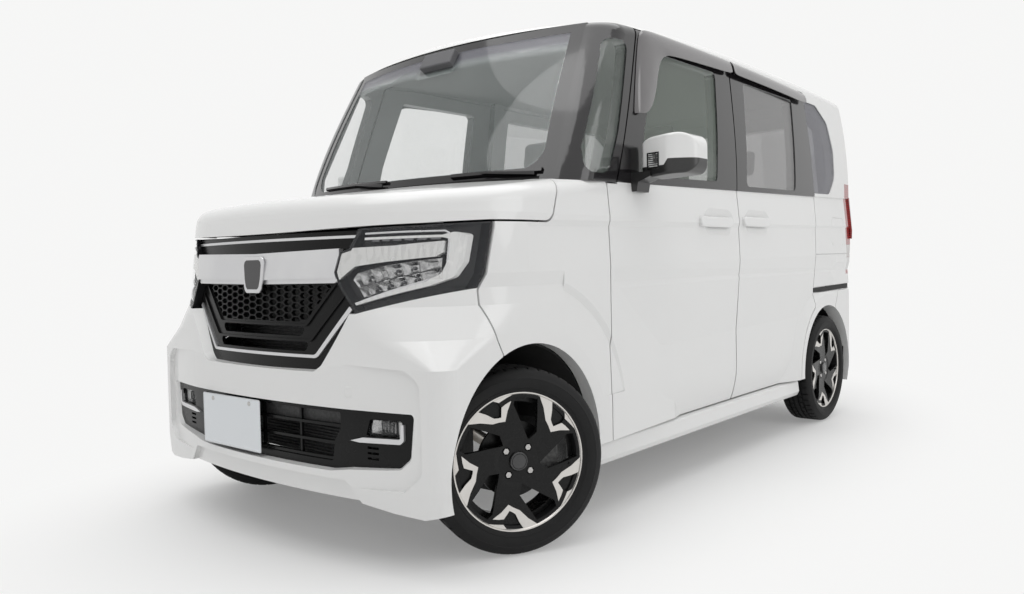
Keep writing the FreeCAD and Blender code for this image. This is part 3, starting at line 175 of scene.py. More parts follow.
world = bpy.data.worlds.new("studio")
scene.world = world
world.use_nodes = True
sky = Shading(world.node_tree)
soft_light = sky.tree.nodes["Background"]
soft_light.inputs["Color"].default_value = (1, 1, 1, 1)
soft_light.inputs["Strength"].default_value = 0.58
white_cove = sky.node("ShaderNodeBackground", {}, Color=BACKDROP)
blend_sky = sky.node("ShaderNodeMixShader", {}, sky.looked_at(), Flow(sky, soft_light.outputs[0]), white_cove)
sky.feed(sky.tree.nodes["World Output"].inputs["Surface"], blend_sky)
for lamp_name, lamp_place, lamp_size, lamp_power in (
    ("soft_box_top", (0.4, -0.3, 4.6), 5.0, 88),
    ("soft_box_side", (5.6, 0.6, 2.9), 3.0, 38),
    ("soft_box_nose", (0.2, -3.2, 4.4), 2.6, 32),
):
    soft_box = bpy.data.objects.new(lamp_name, bpy.data.lights.new(lamp_name, "AREA"))
    soft_box.data.shape = "DISK"
    soft_box.data.size = lamp_size
    soft_box.data.energy = lamp_power
    soft_box.location = lamp_place
    towards_car = Vector((0, 0, 0.6)) - Vector(lamp_place)
    soft_box.rotation_euler = towards_car.to_track_quat("-Z", "Y").to_euler()
    scene.collection.objects.link(soft_box)


# ---- Painted shell. Pressed steel and moulded bumpers under white pearl paint with a
# clear coat; their inner faces are trimmed in grey cloth and board, seen through the glass.
def dress(names, finish):
    """Gives CAD nodes their finish."""
    for name in names.split():
        cad[name].data.materials.clear()
        cad[name].data.materials.append(finish.material)


def inner_face(finish, faces_back=False):
    """1 on faces that look in towards the cabin's middle line, or forward on a piece that faces back."""
    x, y, z = finish.axes()
    nx, ny, nz = finish.axes(finish.place("Normal"))
    up = z - 1.0
    outwards = ny if faces_back else (nx * x + nz * up) / ((x * x + up * up) ** 0.5)
    return 1 - outwards.rise(-0.55, -0.35)


PEARL = (0.755, 0.757, 0.752), (0.785, 0.785, 0.778)


def pearl(name, trimmed=False, faces_back=False):
    paint = Finish(name, Coat_Roughness=0.04, Coat_Weight=0.7, Coat_IOR=1.5)
    flakes = paint.noise(2600.0, 1.0)
    colour = paint.colour(paint.noise(1.4, 2.0), *PEARL)
    colour = paint.colour(flakes.rise(0.56, 0.72) * 0.35, colour, (0.84, 0.845, 0.86))
    roughness = 0.42 + flakes * 0.08
    if trimmed:
        inside = inner_face(paint, faces_back)
        cloth = paint.colour(paint.noise(300.0, 4.0), (0.44, 0.45, 0.45), (0.52, 0.53, 0.525))
        colour = paint.colour(inside, colour, cloth)
        roughness = roughness + inside * 0.4
        paint.give(Coat_Weight=0.7 - inside * 0.7)
    paint.give(Base_Color=colour, Roughness=roughness)
    paint.emboss(paint.noise(420.0, 2.0), 0.00002, 0.35)
    return paint


dress("bonnet front_bumper front_fenders rear_bumper side_skirts", pearl("white_pearl"))
dress("front_door_left front_door_right sliding_doors rear_quarters roof", pearl("white_pearl_trimmed", True))
dress("tailgate", pearl("white_pearl_tailgate", True, True))


# ---- Pillars, window frames, lamp housings and grilles. Steel under gloss black film,
# wiped and faintly rippled, and moulded plastic that is nearly as glossy.
def gloss_black(name, trimmed=False):
    film = Finish(name, Coat_Weight=0.3, Coat_Roughness=0.02)
    wipe = film.noise(9.0, 4.0, (1.0, 1.0, 3.0))
    colour = film.colour(wipe, (0.010, 0.0095, 0.0105), (0.018, 0.0165, 0.018))
    roughness = 0.09 + wipe * 0.07
    if trimmed:
        inside = inner_face(film)
        colour = film.colour(inside, colour, (0.42, 0.43, 0.43))
        roughness = roughness + inside * 0.5
    film.give(Base_Color=colour, Roughness=roughness)
    film.emboss(film.noise(60.0, 2.0), 0.00004, 0.4)
    return film


gloss = gloss_black("black_gloss")
dress("front_pillars centre_pillars front_door_frame_left front_door_frame_right sliding_door_frames",
      gloss_black("black_gloss_trimmed", True))
lamp_housing = Finish("lamp_housing", Specular_IOR_Level=0.28)
lamp_housing.two_tone(lamp_housing.noise(50.0), (0.012, 0.012, 0.013), (0.020, 0.020, 0.021), 0.16, 0.1)
dress("headlamps", lamp_housing)
grille_black = Finish("grille_black", Specular_IOR_Level=0.16)
settled = grille_black.noise(7.0, 4.0)
grille_black.two_tone(settled, (0.0045, 0.0045, 0.0047), (0.009, 0.009, 0.009), 0.20, 0.12)
dress("upper_grille lower_grille", grille_black)


# ---- Moulded plastic parts. Grained polypropylene: rail covers, wheel-arch liners, the
# cowl under the wipers, the dashboard, the steering wheel's skin and the tank.
def grained(name, dark, light, scale=900.0, depth=0.00008, roughness=0.5):
    plastic = Finish(name, Specular_IOR_Level=0.22)
    rounded_cells = {"feature": "SMOOTH_F1"}
    grain = plastic.node("ShaderNodeTexVoronoi", rounded_cells, Vector=plastic.place(), Scale=scale)
    dust = plastic.noise(6.0, 5.0)
    plastic.give(Base_Color=plastic.colour(dust, dark, light),
                 Roughness=roughness + dust * 0.12 - grain * 0.06)
    plastic.emboss(grain, depth, 0.6)
    return plastic


black_plastic = grained("black_matte", (0.008, 0.008, 0.008), (0.016, 0.016, 0.016))
dress("slide_rails cowl_and_bulkhead wheel_wells", black_plastic)
for node, name, dark, light, scale, depth, roughness in (
    ("dashboard", "dash_plastic", (0.075, 0.075, 0.078), (0.10, 0.10, 0.10), 1400.0, 0.0001, 0.55),
    ("steering_wheel", "wheel_leather", (0.02, 0.02, 0.02), (0.035, 0.034, 0.033), 500.0, 0.00012, 0.45),
    ("fuel_tank", "tank_plastic", (0.03, 0.03, 0.031), (0.05, 0.05, 0.05), 300.0, 0.0002, 0.6),
):
    dress(node, grained(name, dark, light, scale, depth, roughness))


# ---- Metal under the floor and in the bay: black chip-proof coating, cast iron and
# aluminium, and bare stainless tube for the exhaust.
def metal(name, dark, light, metallic, roughness, scale, rough_skin=True):
    made = Finish(name, Metallic=metallic)
    cloud = made.noise(scale, 6.0)
    made.give(Base_Color=made.colour(cloud.rise(0.35, 0.65), dark, light),
              Roughness=roughness + cloud * 0.15)
    if rough_skin:
        made.emboss(cloud, 0.00006, 0.6)
    return made


dress("floor_pan front_subframe front_struts rear_axle",
      metal("steel_black", (0.03, 0.03, 0.03), (0.055, 0.055, 0.056), 0.0, 0.55, 120.0))
dress("engine knuckle_left knuckle_right",
      metal("cast", (0.05, 0.05, 0.05), (0.10, 0.10, 0.098), 0.5, 0.5, 90.0))
dress("exhaust", metal("exhaust_steel", (0.38, 0.34, 0.29), (0.55, 0.53, 0.50), 1.0, 0.22, 14.0))
chrome = metal("satin_chrome", (0.60, 0.60, 0.61), (0.66, 0.66, 0.665), 0.75, 0.22, 3.0, False)
dress("chrome_trim", chrome)


# ---- Glass. Laminated windscreen with a black printed border and a shade band, pale
# green tempered door glass, and dark privacy glass from the centre pillars back.
def glass(name, tint, cover, border=None, ior=2.8):
    """Tinted glass: tint is what it adds, cover how much each face hides."""
    pane = Finish(name, IOR=1.45, Coat_IOR=ior, Coat_Roughness=0.02)
    film = pane.noise(5.0, 3.0)
    colour = pane.colour(film, tint, tuple(min(1, channel * 1.12) for channel in tint))
    alpha, roughness, sheen = cover + film * 0.02, 0.015 + film * 0.01, 1.0 - film * 0.02
    if border:
        printed, shade = border(pane)
        colour = pane.colour(shade, colour, (0.20, 0.20, 0.23))
        colour = pane.colour(printed, colour, (0.012, 0.011, 0.012))
        alpha = (alpha + shade * 0.42).most(printed)
        roughness, sheen = roughness + printed * 0.08, sheen * (1 - shade.most(printed) * 0.92)
    pane.give(Base_Color=colour, Alpha=alpha, Roughness=roughness, Coat_Weight=sheen)
    return pane


SCREEN_FOOT, SCREEN_TOP = 1.150, 1.697
FOOT_HALF, TOP_HALF = 0.648, 0.597
BORDER_SIDE, BORDER_FOOT, BORDER_TOP, BORDER_ROUND, SOFT_EDGE = 0.048, 0.026, 0.026, 0.085, 0.002


def screen_border(pane):
    """The printed border's mask and the shade band's mask on the windscreen."""
    x, y, z = pane.axes()
    half = FOOT_HALF - (z - SCREEN_FOOT) * ((FOOT_HALF - TOP_HALF) / (SCREEN_TOP - SCREEN_FOOT))
    from_side = (BORDER_ROUND + BORDER_SIDE) - (half - abs(x))
    from_foot = (BORDER_ROUND + BORDER_FOOT) - (z - SCREEN_FOOT)
    rounded = (from_side.most(0.0) ** 2.0 + from_foot.most(0.0) ** 2.0) ** 0.5
    printed = rounded.rise(BORDER_ROUND - SOFT_EDGE, BORDER_ROUND + SOFT_EDGE)
    header = z.rise(SCREEN_TOP - BORDER_TOP - 2 * SOFT_EDGE, SCREEN_TOP - BORDER_TOP)
    side = (BORDER_SIDE - (half - abs(x))).rise(-SOFT_EDGE, SOFT_EDGE)
    housing = (0.10 - abs(x)).rise(-0.02, 0.02) * z.rise(SCREEN_TOP - 0.125, SCREEN_TOP - 0.085)
    shade = z.rise(SCREEN_TOP - 0.11, SCREEN_TOP - 0.055)
    return printed.most(header).most(side).most(housing * 0.9), shade


dress("windscreen", glass("windscreen_glass", (0.62, 0.70, 0.68), 0.085, screen_border))
dress("front_door_glass_left front_door_glass_right", glass("clear_glass", (0.42, 0.52, 0.43), 0.13))
dress("sliding_door_glass tailgate_glass", glass("privacy_glass", (0.105, 0.102, 0.103), 0.47))


def rear_shade(pane):
    """No print; the fixed panes ahead of the doors are clear, those behind them are shaded."""
    x, y, z = pane.axes()
    return 0.0, y.rise(0.0, 0.1)


dress("fixed_side_glass", glass("fixed_glass", (0.36, 0.43, 0.38), 0.115, rear_shade))


# ---- Tyres. Low road tyres of black rubber: four grooves run round the tread, sipes cut
# the shoulders, and fine rings stand on the sidewalls. They are seated on the rims.
def only(piece):
    """Selects one object and makes it the active one."""
    bpy.ops.object.select_all(action="DESELECT")
    piece.select_set(True)
    bpy.context.view_layer.objects.active = piece
    return piece


def copy_of(piece):
    """A copy of an object with a mesh of its own, selected."""
    copy = piece.copy()
    copy.data = piece.data.copy()
    scene.collection.objects.link(copy)
    return only(copy)


@contextmanager
def editing(action="SELECT"):
    """Edit mode, with all or nothing selected, or what was marked when there is no action."""
    bpy.ops.object.mode_set(mode="EDIT")
    if action:
        bpy.ops.mesh.select_all(action=action)
    yield
    bpy.ops.object.mode_set(mode="OBJECT")


def mark_faces(piece, test):
    """Marks for the next edit the faces of the active object that pass a test."""
    with editing("DESELECT"):
        pass
    for face in piece.data.polygons:
        if test(face):
            face.select = True


def settle():
    """Makes the selected object's own frame the car's frame."""
    bpy.ops.object.transform_apply(location=True, rotation=True, scale=True)


def rename(name, finish, body="body"):
    """Names the active object, gives it its finish and body, and settles its place."""
    piece = bpy.context.object
    piece.name = piece.data.name = name
    piece.data.materials.clear()
    piece.data.materials.append(finish.material)
    settle()
    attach(piece, body)
    return piece


def apply(kind, **settings):
    """Adds a modifier to the active object and applies it."""
    modifier = bpy.context.object.modifiers.new(kind.title(), kind)
    for key, value in settings.items():
        setattr(modifier, key, value)
    bpy.ops.object.modifier_apply(modifier=modifier.name)


def ease(width, segments, **settings):
    """Rounds the sharp edges of the active object."""
    apply("BEVEL", width=width, segments=segments, **settings)
    return bpy.context.object


def smooth(degrees):
    """Shades the active object smooth, apart from edges sharper than an angle."""
    bpy.ops.object.shade_smooth_by_angle(angle=math.radians(degrees))


def face_out():
    """Merges points that meet and turns every face outwards."""
    with editing():
        bpy.ops.mesh.remove_doubles(threshold=0.00001)
        bpy.ops.mesh.normals_make_consistent(inside=False)


def turned(section, steps):
    """A closed section of (radius, height) spun about the Z axis."""
    bpy.ops.mesh.primitive_circle_add(vertices=len(section), radius=1)
    for vertex, (radius, height) in zip(bpy.context.object.data.vertices, section):
        vertex.co = (0, radius, height)
    with editing():
        bpy.ops.mesh.spin(steps=steps, angle=math.tau, center=(0, 0, 0), axis=(0, 0, 1))
    face_out()
    return bpy.context.object


rubber = Finish("tyre_rubber", Specular_IOR_Level=0.22)
rubber.two_tone(rubber.noise(30.0, 6.0), (0.007, 0.007, 0.007), (0.016, 0.016, 0.0165), 0.55, 0.15)
rubber.emboss(rubber.noise(500.0, 3.0), 0.0001, 0.5)

TYRE_R, TYRE_HALF, GROOVE = 0.2789, 0.0825, 0.0065
shoulder = [(0.2065, 0.0665), (0.2080, 0.0715), (0.2140, 0.0745), (0.2185, 0.0782), (0.2200, 0.0796),
            (0.2214, 0.0786), (0.2300, 0.0815), (0.2390, TYRE_HALF), (0.2480, 0.0818), (0.2496, 0.0826),
            (0.2510, 0.0812), (0.2580, 0.0784), (0.2640, 0.0752), (0.2700, 0.0712), (0.2742, 0.0668),
            (0.2768, 0.0615), (0.2782, 0.0545), (0.2788, 0.0440)]
grooves = []
for middle, half in ((0.0370, 0.0042), (0.0135, 0.0046), (-0.0135, 0.0046), (-0.0370, 0.0042)):
    grooves += [(TYRE_R, middle + half), (TYRE_R - GROOVE, middle + half * 0.6),
                (TYRE_R - GROOVE, middle - half * 0.6), (TYRE_R, middle - half)]
bead = [(0.1910, -0.0625), (0.1910, 0.0625)]
STEPS, EVERY, LAG = 288, 6, 2
tyre = turned(shoulder + grooves + [(r, -z) for r, z in shoulder[::-1]] + bead, STEPS)
TREAD_LOW, TREAD_FLAT, TREAD_EDGE, TREAD_FALL = 0.2735, 0.2788, 0.05, 0.5


def in_sipe(face, low, high, start):
    """Whether a face of the tread's skin lies where a row of sipes is cut."""
    x, y, z = face.center
    turn = math.floor(math.atan2(y, x) / math.tau * STEPS + 0.001) % EVERY
    skin = max(TREAD_LOW, TREAD_FLAT - max(0, abs(z) - TREAD_EDGE) * TREAD_FALL)
    lag = 0 if z > 0 else LAG
    return low < abs(z) < high and turn == (start + lag) % EVERY and math.hypot(x, y) > skin


for low, high, start, depth in ((0.0400, 0.0660, 0, 0.0045), (0.0180, 0.0330, 3, 0.0035)):
    mark_faces(tyre, lambda face: in_sipe(face, low, high, start))
    with editing(None):
        bpy.ops.mesh.extrude_region_shrink_fatten(TRANSFORM_OT_shrink_fatten={"value": -depth})
smooth(28)
tyre.name = "tyre_pattern"

STEERED = -27.5
wheels = {}
for label, side in (("front_left", 1), ("front_right", -1), ("rear_left", 1), ("rear_right", -1)):
    low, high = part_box(label + "_tyre")
    steer = Matrix.Rotation(math.radians(STEERED if "front" in label else 0), 4, "Z")
    wheels[label] = Matrix.Translation((low + high) / 2) @ steer @ Matrix.Rotation(side * math.pi / 2, 4, "Y")


def four_of(pattern, name, finish, replaced=None):
    """Copies a piece made at the origin to each wheel, and takes the first away."""
    for label, place in wheels.items():
        copy = copy_of(pattern)
        copy.matrix_world = place @ pattern.matrix_world
        rename(f"{name}_{label}", finish, "wheel_" + label)
        if replaced:
            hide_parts(f"{label}_{replaced}")
    bpy.data.objects.remove(pattern)


four_of(tyre, "tyre", rubber, "tyre")


# ---- Wheel faces. Cast alloy painted gloss black; the spoke tips and the rim edge are
# turned bright on a lathe. Four nuts sit in wells round a plain pressed-in centre cap.
alloy = Finish("alloy", Specular_IOR_Level=0.22)
alloy.two_tone(alloy.noise(60.0, 4.0), (0.006, 0.006, 0.006), (0.011, 0.011, 0.011), 0.22, 0.1)
for label in wheels:
    dress(label + "_rim", alloy)
lathe = Finish("machined_alloy", Metallic=0.9)
lathe.two_tone(lathe.noise(25.0, 5.0), (0.60, 0.575, 0.55), (0.72, 0.70, 0.67), 0.24, 0.1)
lathe.emboss(lathe.noise(1500.0, 1.0), 0.00001, 0.4)


def cut_out(points, way):
    """A flat piece cut to an outline of 3-D points and drawn out along a vector."""
    bpy.ops.mesh.primitive_circle_add(vertices=len(points), radius=1, fill_type="NGON")
    for vertex, point in zip(bpy.context.object.data.vertices, points):
        vertex.co = point
    with editing():
        bpy.ops.mesh.extrude_region_move(TRANSFORM_OT_translate={"value": way})
    face_out()
    return bpy.context.object


def join(pieces):
    """Joins pieces into the first of them."""
    only(pieces[0])
    for piece in pieces:
        piece.select_set(True)
    bpy.ops.object.join()
    return bpy.context.object


def rod(radius, depth, place, sides, bevel, segments=3, turn=(0, 0, 0)):
    """A round bar, or a hexagon, with eased edges."""
    bpy.ops.mesh.primitive_cylinder_add(
        vertices=sides, radius=radius, depth=depth, location=place, rotation=turn)
    piece = ease(bevel, segments)
    settle()
    return piece


def around(radius, degrees):
    """A point (x, y) of the wheel's face, by its radius and its angle from the top."""
    return -radius * math.sin(math.radians(degrees)), radius * math.cos(math.radians(degrees))


FACE = [(0.031, 0.057), (0.064, 0.057), (0.076, 0.060), (0.150, 0.065), (0.200, 0.064)]


def face_height(radius):
    """How far out the spokes' face stands at a radius."""
    for (r0, z0), (r1, z1) in zip(FACE, FACE[1:]):
        if radius <= r1:
            return z0 + (z1 - z0) * (radius - r0) / (r1 - r0)
    return FACE[-1][1]


FIRST_SPOKE, SPOKES, FACE_SUNK, FACE_THICK = 69, 5, 0.0012, 0.0030
HOOK = [(203, 1), (174, -7), (145, -16), (137, -24), (130, -32), (157, -38), (184, -44), (179, -38),
        (174, -33), (160, -31), (147, -29), (150, -25), (156, -21), (180, -16.5), (204, -12), (204, -5)]
WEDGE = [(203.5, -27), (197, -29.5), (190, -32), (196, -40), (203.5, -47.5), (204, -37)]
bright = []
for outline in (HOOK, WEDGE):
    for spoke in range(SPOKES):
        spoke_at = FIRST_SPOKE + 360 / SPOKES * spoke
        points = [(*around(radius / 1000, spoke_at + degrees), face_height(radius / 1000) - FACE_SUNK)
                  for radius, degrees in outline]
        bright.append(cut_out(points, (0, 0, FACE_THICK)))
rim_edge = [(0.2005, 0.0636), (0.2005, 0.0646), (0.2036, 0.0691), (0.2080, 0.0694), (0.2088, 0.0684),
            (0.2086, 0.0650), (0.2040, 0.0636)]
bright.append(turned(rim_edge, 96))
machined = join(bright)
smooth(25)
four_of(machined, "machined_face", lathe)

NUT_CIRCLE, VALVE_CIRCLE = 0.050, 0.1660
nuts = [rod(0.0098, 0.016, (*around(NUT_CIRCLE, angle), 0.0510), 6, 0.0016) for angle in (50, 140, 230, 320)]
nut_steel = metal("nut_steel", (0.42, 0.41, 0.40), (0.56, 0.55, 0.54), 1.0, 0.25, 300.0)
four_of(join(nuts), "wheel_nuts", nut_steel)
cap = turned([(0.0005, 0.0600), (0.0005, 0.0668), (0.0120, 0.0664), (0.0215, 0.0650), (0.0225, 0.0636),
              (0.0235, 0.0650), (0.0262, 0.0650), (0.0278, 0.0636), (0.0282, 0.0600)], 48)
smooth(30)
cap_finish = Finish("centre_cap", Coat_Weight=0.5)
cap_finish.two_tone(cap_finish.noise(80.0), (0.02, 0.02, 0.021), (0.035, 0.035, 0.036), 0.2, 0.1)
four_of(cap, "centre_cap", cap_finish)
stem = [(0.0002, 0.0), (0.0002, 0.020), (0.0032, 0.020), (0.0036, 0.012), (0.0028, 0.010), (0.0040, 0.0)]
valve = turned(stem, 16)
valve.location = (*around(VALVE_CIRCLE, -8), 0.052)
four_of(valve, "tyre_valve", rubber)


# ---- Door mirrors. A white cap over a black lower shell and foot, a clear turn lens in
# its inner front corner, and silvered glass behind. Screwed to the door's sail corner.
mirror_shell = Finish("mirror_shell", Coat_Roughness=0.04)
x, y, z = mirror_shell.axes()
nx, ny, nz = mirror_shell.axes(mirror_shell.place("Normal"))
step = 1.190 + abs(x).rise(0.852, 0.872) * 0.020
under_step = (step - z).rise(-0.0008, 0.0008)
behind = ny.rise(0.80, 0.84)
on_foot = (0.797 - abs(x)).rise(-0.001, 0.001) * (1.183 - z).rise(-0.001, 0.001)
black = under_step.most(behind).most(on_foot)
speckle = mirror_shell.noise(700.0, 3.0)
white = mirror_shell.colour(mirror_shell.noise(1.4, 2.0), *PEARL)
dark = mirror_shell.colour(speckle, (0.010, 0.010, 0.010), (0.018, 0.018, 0.018))
mirror_shell.give(Base_Color=mirror_shell.colour(black, white, dark), Coat_Weight=0.7 - black * 0.5,
                  Roughness=0.42 - black * 0.12 + speckle * 0.06)
dress("door_mirror_left door_mirror_right", mirror_shell)


AHEAD, BACK = -2.0, (0, 1, 0)


def on_nodes(names):
    """A probe of the skin of CAD nodes."""
    corners, faces = [], []
    for name in names.split():
        mesh, base = cad[name].data, len(corners)
        corners += [vertex.co.copy() for vertex in mesh.vertices]
        faces += [tuple(base + index for index in face.vertices) for face in mesh.polygons]
    tree = BVHTree.FromPolygons(corners, faces)

    def probe(start, way=BACK, depth=0.0, missed=None):
        """The first point met from a start going a way, and on by depth; missed if none is met."""
        place = tree.ray_cast(Vector(start), Vector(way))[0]
        return missed if place is None else place + Vector(way) * depth

    return probe


def lattice(rows):
    """A grid of quads through rows of points."""
    bpy.ops.mesh.primitive_grid_add(x_subdivisions=len(rows[0]) - 1, y_subdivisions=len(rows) - 1, size=1)
    for vertex, point in zip(bpy.context.object.data.vertices, [point for row in rows for point in row]):
        vertex.co = point
    return bpy.context.object


def sheet(rows, thickness, offset=0, rounds=0):
    """A sheet through rows of points, rounded if asked, and given a thickness."""
    lattice(rows)
    face_out()
    if rounds:
        apply("SUBSURF", levels=rounds, render_levels=rounds)
    apply("SOLIDIFY", thickness=thickness, offset=offset)
    return bpy.context.object


def both_sides(name, finish, doors=None):
    """Names the active object, made on the car's left, and mirrors a copy to the right."""
    left = bpy.context.object
    right = copy_of(left)
    right.scale = (-1, 1, 1)
    bpy.ops.object.transform_apply(location=False, rotation=False, scale=True)
    with editing():
        bpy.ops.mesh.flip_normals()
    for piece, side in ((left, "left"), (right, "right")):
        only(piece)
        rename(f"{name}_{side}", finish, f"{doors}_{side}" if doors else "body")


left_mirror = on_nodes("door_mirror_left")
lens_rows = []
for up in range(7):
    z = 1.1800 + up * 0.0095
    across = [0.7830 + step * 0.0065 for step in range(9)]
    lens_rows.append([left_mirror((x, -0.90, z), BACK, -0.0012, Vector((x, -0.62, z))) for x in across])
sheet(lens_rows, 0.004)
ease(0.0015, 2)
smooth(35)
turn_lens = Finish("turn_lens", Coat_Weight=0.8, Coat_Roughness=0.02, Roughness=0.12)
x, y, z = turn_lens.axes()
window = (abs(x) - 0.7885).least(0.8300 - abs(x)).least(z - 1.186).least(1.232 - z).rise(0.0, 0.0015)
# Painted glints: the flutes are drawn as stripes, and their bright patches, broken up by noise, are light
# caught in them painted into the lens's colour.
flute_glints = (z * 900.0).sine().rise(-0.6, 0.8) * turn_lens.noise(60.0).rise(0.35, 0.6)
glinting_lens_colour = turn_lens.colour(flute_glints, (0.06, 0.06, 0.06), (0.62, 0.63, 0.62))
turn_lens.give(Base_Color=turn_lens.colour(window, (0.010, 0.010, 0.010), glinting_lens_colour))
both_sides("turn_lens", turn_lens, "front_door")


def rounded_square(columns, lines, power):
    """Rows of (u, v, pull): a grid over a square, drawn in by pull to a rounded outline."""
    rows = []
    for line in range(lines + 1):
        v = line / lines * 2 - 1
        rows.append([])
        for column in range(columns + 1):
            u = column / columns * 2 - 1
            pull = 1 / max(1.0, (abs(u) ** power + abs(v) ** power) ** (1 / power))
            rows[-1].append((u, v, pull))
    return rows


glass_rows = []
for row in rounded_square(12, 8, 5):
    places = [(0.868 + u * pull * 0.070, 1.229 + v * pull * 0.052) for u, v, pull in row]
    glass_rows.append([left_mirror((x, -0.30, z), (0, -1, 0), -0.0010, Vector((x, -0.50, z)))
                       for x, z in places])
sheet(glass_rows, 0.0024)
silver = Finish("silvered_glass", Metallic=1.0)
silver.two_tone(silver.noise(12.0, 4.0), (0.80, 0.81, 0.82), (0.86, 0.87, 0.88), 0.02, 0.03)
both_sides("mirror_glass", silver, "front_door")


# ---- Rain visors over the side windows. Vacuum-formed smoke-grey acrylic stuck to the
# frames at its top and front edge; the free edge stands about 20 mm off the glass.
smoke = Finish("visor_acrylic", Coat_Weight=0.6, Coat_Roughness=0.03, IOR=1.6)
haze = smoke.noise(4.0, 3.0)
smoke.two_tone(haze, (0.10, 0.095, 0.098), (0.15, 0.142, 0.145), 0.10, 0.06)
smoke.give(Alpha=0.93 + haze * 0.04)
VISORS = {
    "front_visor": (
        [(-0.614, 1.384), (-0.606, 1.420), (-0.596, 1.470), (-0.574, 1.555), (-0.553, 1.625),
         (-0.534, 1.676), (-0.518, 1.694), (-0.490, 1.7035), (-0.440, 1.707), (-0.353, 1.709),
         (-0.120, 1.712), (0.060, 1.713), (0.196, 1.7135)],
        [(-0.566, 1.3885), (-0.540, 1.400), (-0.506, 1.430), (-0.480, 1.472), (-0.452, 1.540),
         (-0.434, 1.582), (-0.416, 1.604), (-0.392, 1.620), (-0.362, 1.632), (-0.310, 1.636),
         (-0.110, 1.644), (0.060, 1.650), (0.196, 1.654)],
        "front_door"),
    "rear_visor": (
        [(0.216, 1.7135), (0.226, 1.7135), (0.300, 1.713), (0.500, 1.711), (0.700, 1.708), (0.900, 1.704),
         (1.020, 1.700), (1.052, 1.697)],
        [(0.216, 1.668), (0.226, 1.656), (0.300, 1.656), (0.500, 1.655), (0.700, 1.652), (0.900, 1.647),
         (1.020, 1.643), (1.048, 1.650)],
        None),
}
flank = on_nodes("front_door_frame_left front_door_glass_left sliding_door_frames sliding_door_glass "
                 "roof front_door_left")
STAND = ((0.0, 0.0015), (0.08, 0.0080), (0.22, 0.0135), (0.45, 0.0180), (0.75, 0.0205), (1.0, 0.0215))
BESIDE, INWARDS, GLASS_TOP, GLASS_MID = 1.2, (-1, 0, 0), 1.690, 1.50


def flank_x(y, z):
    """Where the car's side is at a height, its glass's lean being carried on above the glass."""
    x = flank((BESIDE, y, min(z, GLASS_TOP)), INWARDS).x
    if z > GLASS_TOP:
        lean = (flank((BESIDE, y, GLASS_MID), INWARDS).x - x) / (GLASS_TOP - GLASS_MID)
        x -= lean * (z - GLASS_TOP)
    return x


for visor_name, (fixed_edge, free_edge, doors) in VISORS.items():
    rows = []
    for share, stand in STAND:
        line = [(y0 + (y1 - y0) * share, z0 + (z1 - z0) * share)
                for (y0, z0), (y1, z1) in zip(fixed_edge, free_edge)]
        rows.append([(flank_x(y, z) + stand, y, z) for y, z in line])
    sheet(rows, 0.0028, rounds=2)
    smooth(40)
    both_sides(visor_name, smoke, doors)


# ---- Headlamps. Two rows of reflector cells, seven with a diode's lens, sit under a pale
# light bar in a clear lens; a dashed turn strip lies above and a satin line round both.
lamp_glass = glass("lamp_lens", (0.30, 0.31, 0.33), 0.035, None, 1.6)
dress("headlamp_lenses fog_lamps", lamp_glass)
guide_white = Finish("light_guide", Coat_Weight=0.6, Coat_Roughness=0.05)
cloud = guide_white.noise(30.0, 3.0)
x, y, z = guide_white.axes()
bar = (0.637 - abs(x)).least(z - 0.826).least(0.940 - z).rise(-0.0005, 0.0005)
milky = guide_white.colour(cloud, (0.68, 0.68, 0.675), (0.78, 0.78, 0.77))
guide_white.give(Base_Color=guide_white.colour(bar, milky, (0.62, 0.62, 0.61)),
                 Roughness=0.22 + cloud * 0.08, Metallic=bar * 0.75)
dress("headlamp_guides", guide_white)
lamp_face = on_nodes("headlamp_lenses")
EDGE_STEP, RIBBON_STEP = 4, 14


def in_lamp(x, z, depth):
    """A point behind the left lamp's face, from millimetres, or near the edge if past it."""
    place = lamp_face((x / 1000, AHEAD, z / 1000), BACK, depth)
    return in_lamp(x - EDGE_STEP, z, depth) if place is None else place


def run(x0, z0, x1, z1, count=14):
    """Points in even steps from one place to another."""
    return [(x0 + (x1 - x0) * step / count, z0 + (z1 - z0) * step / count) for step in range(count + 1)]


def ribbon(path, width, depth, thickness):
    """A flat bar that follows a path of (x, z) inside the lamp."""
    dense = []
    for (x0, z0), (x1, z1) in zip(path, path[1:]):
        dense += run(x0, z0, x1, z1, max(1, int(math.hypot(x1 - x0, z1 - z0) / RIBBON_STEP)))[:-1]
    dense.append(path[-1])
    outer, inner = [], []
    for index, (x, z) in enumerate(dense):
        before, after = dense[max(0, index - 1)], dense[min(len(dense) - 1, index + 1)]
        along = Vector((after[0] - before[0], after[1] - before[1])).normalized() * width / 2
        outer.append(in_lamp(x - along.y, z + along.x, depth))
        inner.append(in_lamp(x + along.y, z - along.x, depth))
    sheet([outer, inner], thickness)
    ease(0.0008, 2)


bright_metal = metal("lamp_reflector", (0.34, 0.34, 0.34), (0.52, 0.52, 0.52), 0.95, 0.12, 60.0)
ribbon([(452, 957), (560, 960), (633, 961), (640, 955), (642, 930), (642, 870), (638, 848), (628, 833),
        (600, 821), (540, 800), (452, 768)], 5.0, 0.008, 0.0030)
both_sides("lamp_line", chrome)

blocks = []
for index in range(6):
    x, z = 470 + index * 27, 939 + index * 0.6
    sheet([[in_lamp(x, z - 5, 0.010), in_lamp(x + 20, z - 5, 0.010)],
           [in_lamp(x + 4, z + 6, 0.010), in_lamp(x + 22, z + 6, 0.010)]], 0.004)
    blocks.append(ease(0.0012, 2))
join(blocks)
turn_grey = Finish("turn_blocks", Roughness=0.25, Coat_Weight=0.5)
turn_grey.give(Base_Color=turn_grey.colour(turn_grey.noise(90.0), (0.10, 0.10, 0.105), (0.22, 0.22, 0.23)))
both_sides("turn_strip", turn_grey)

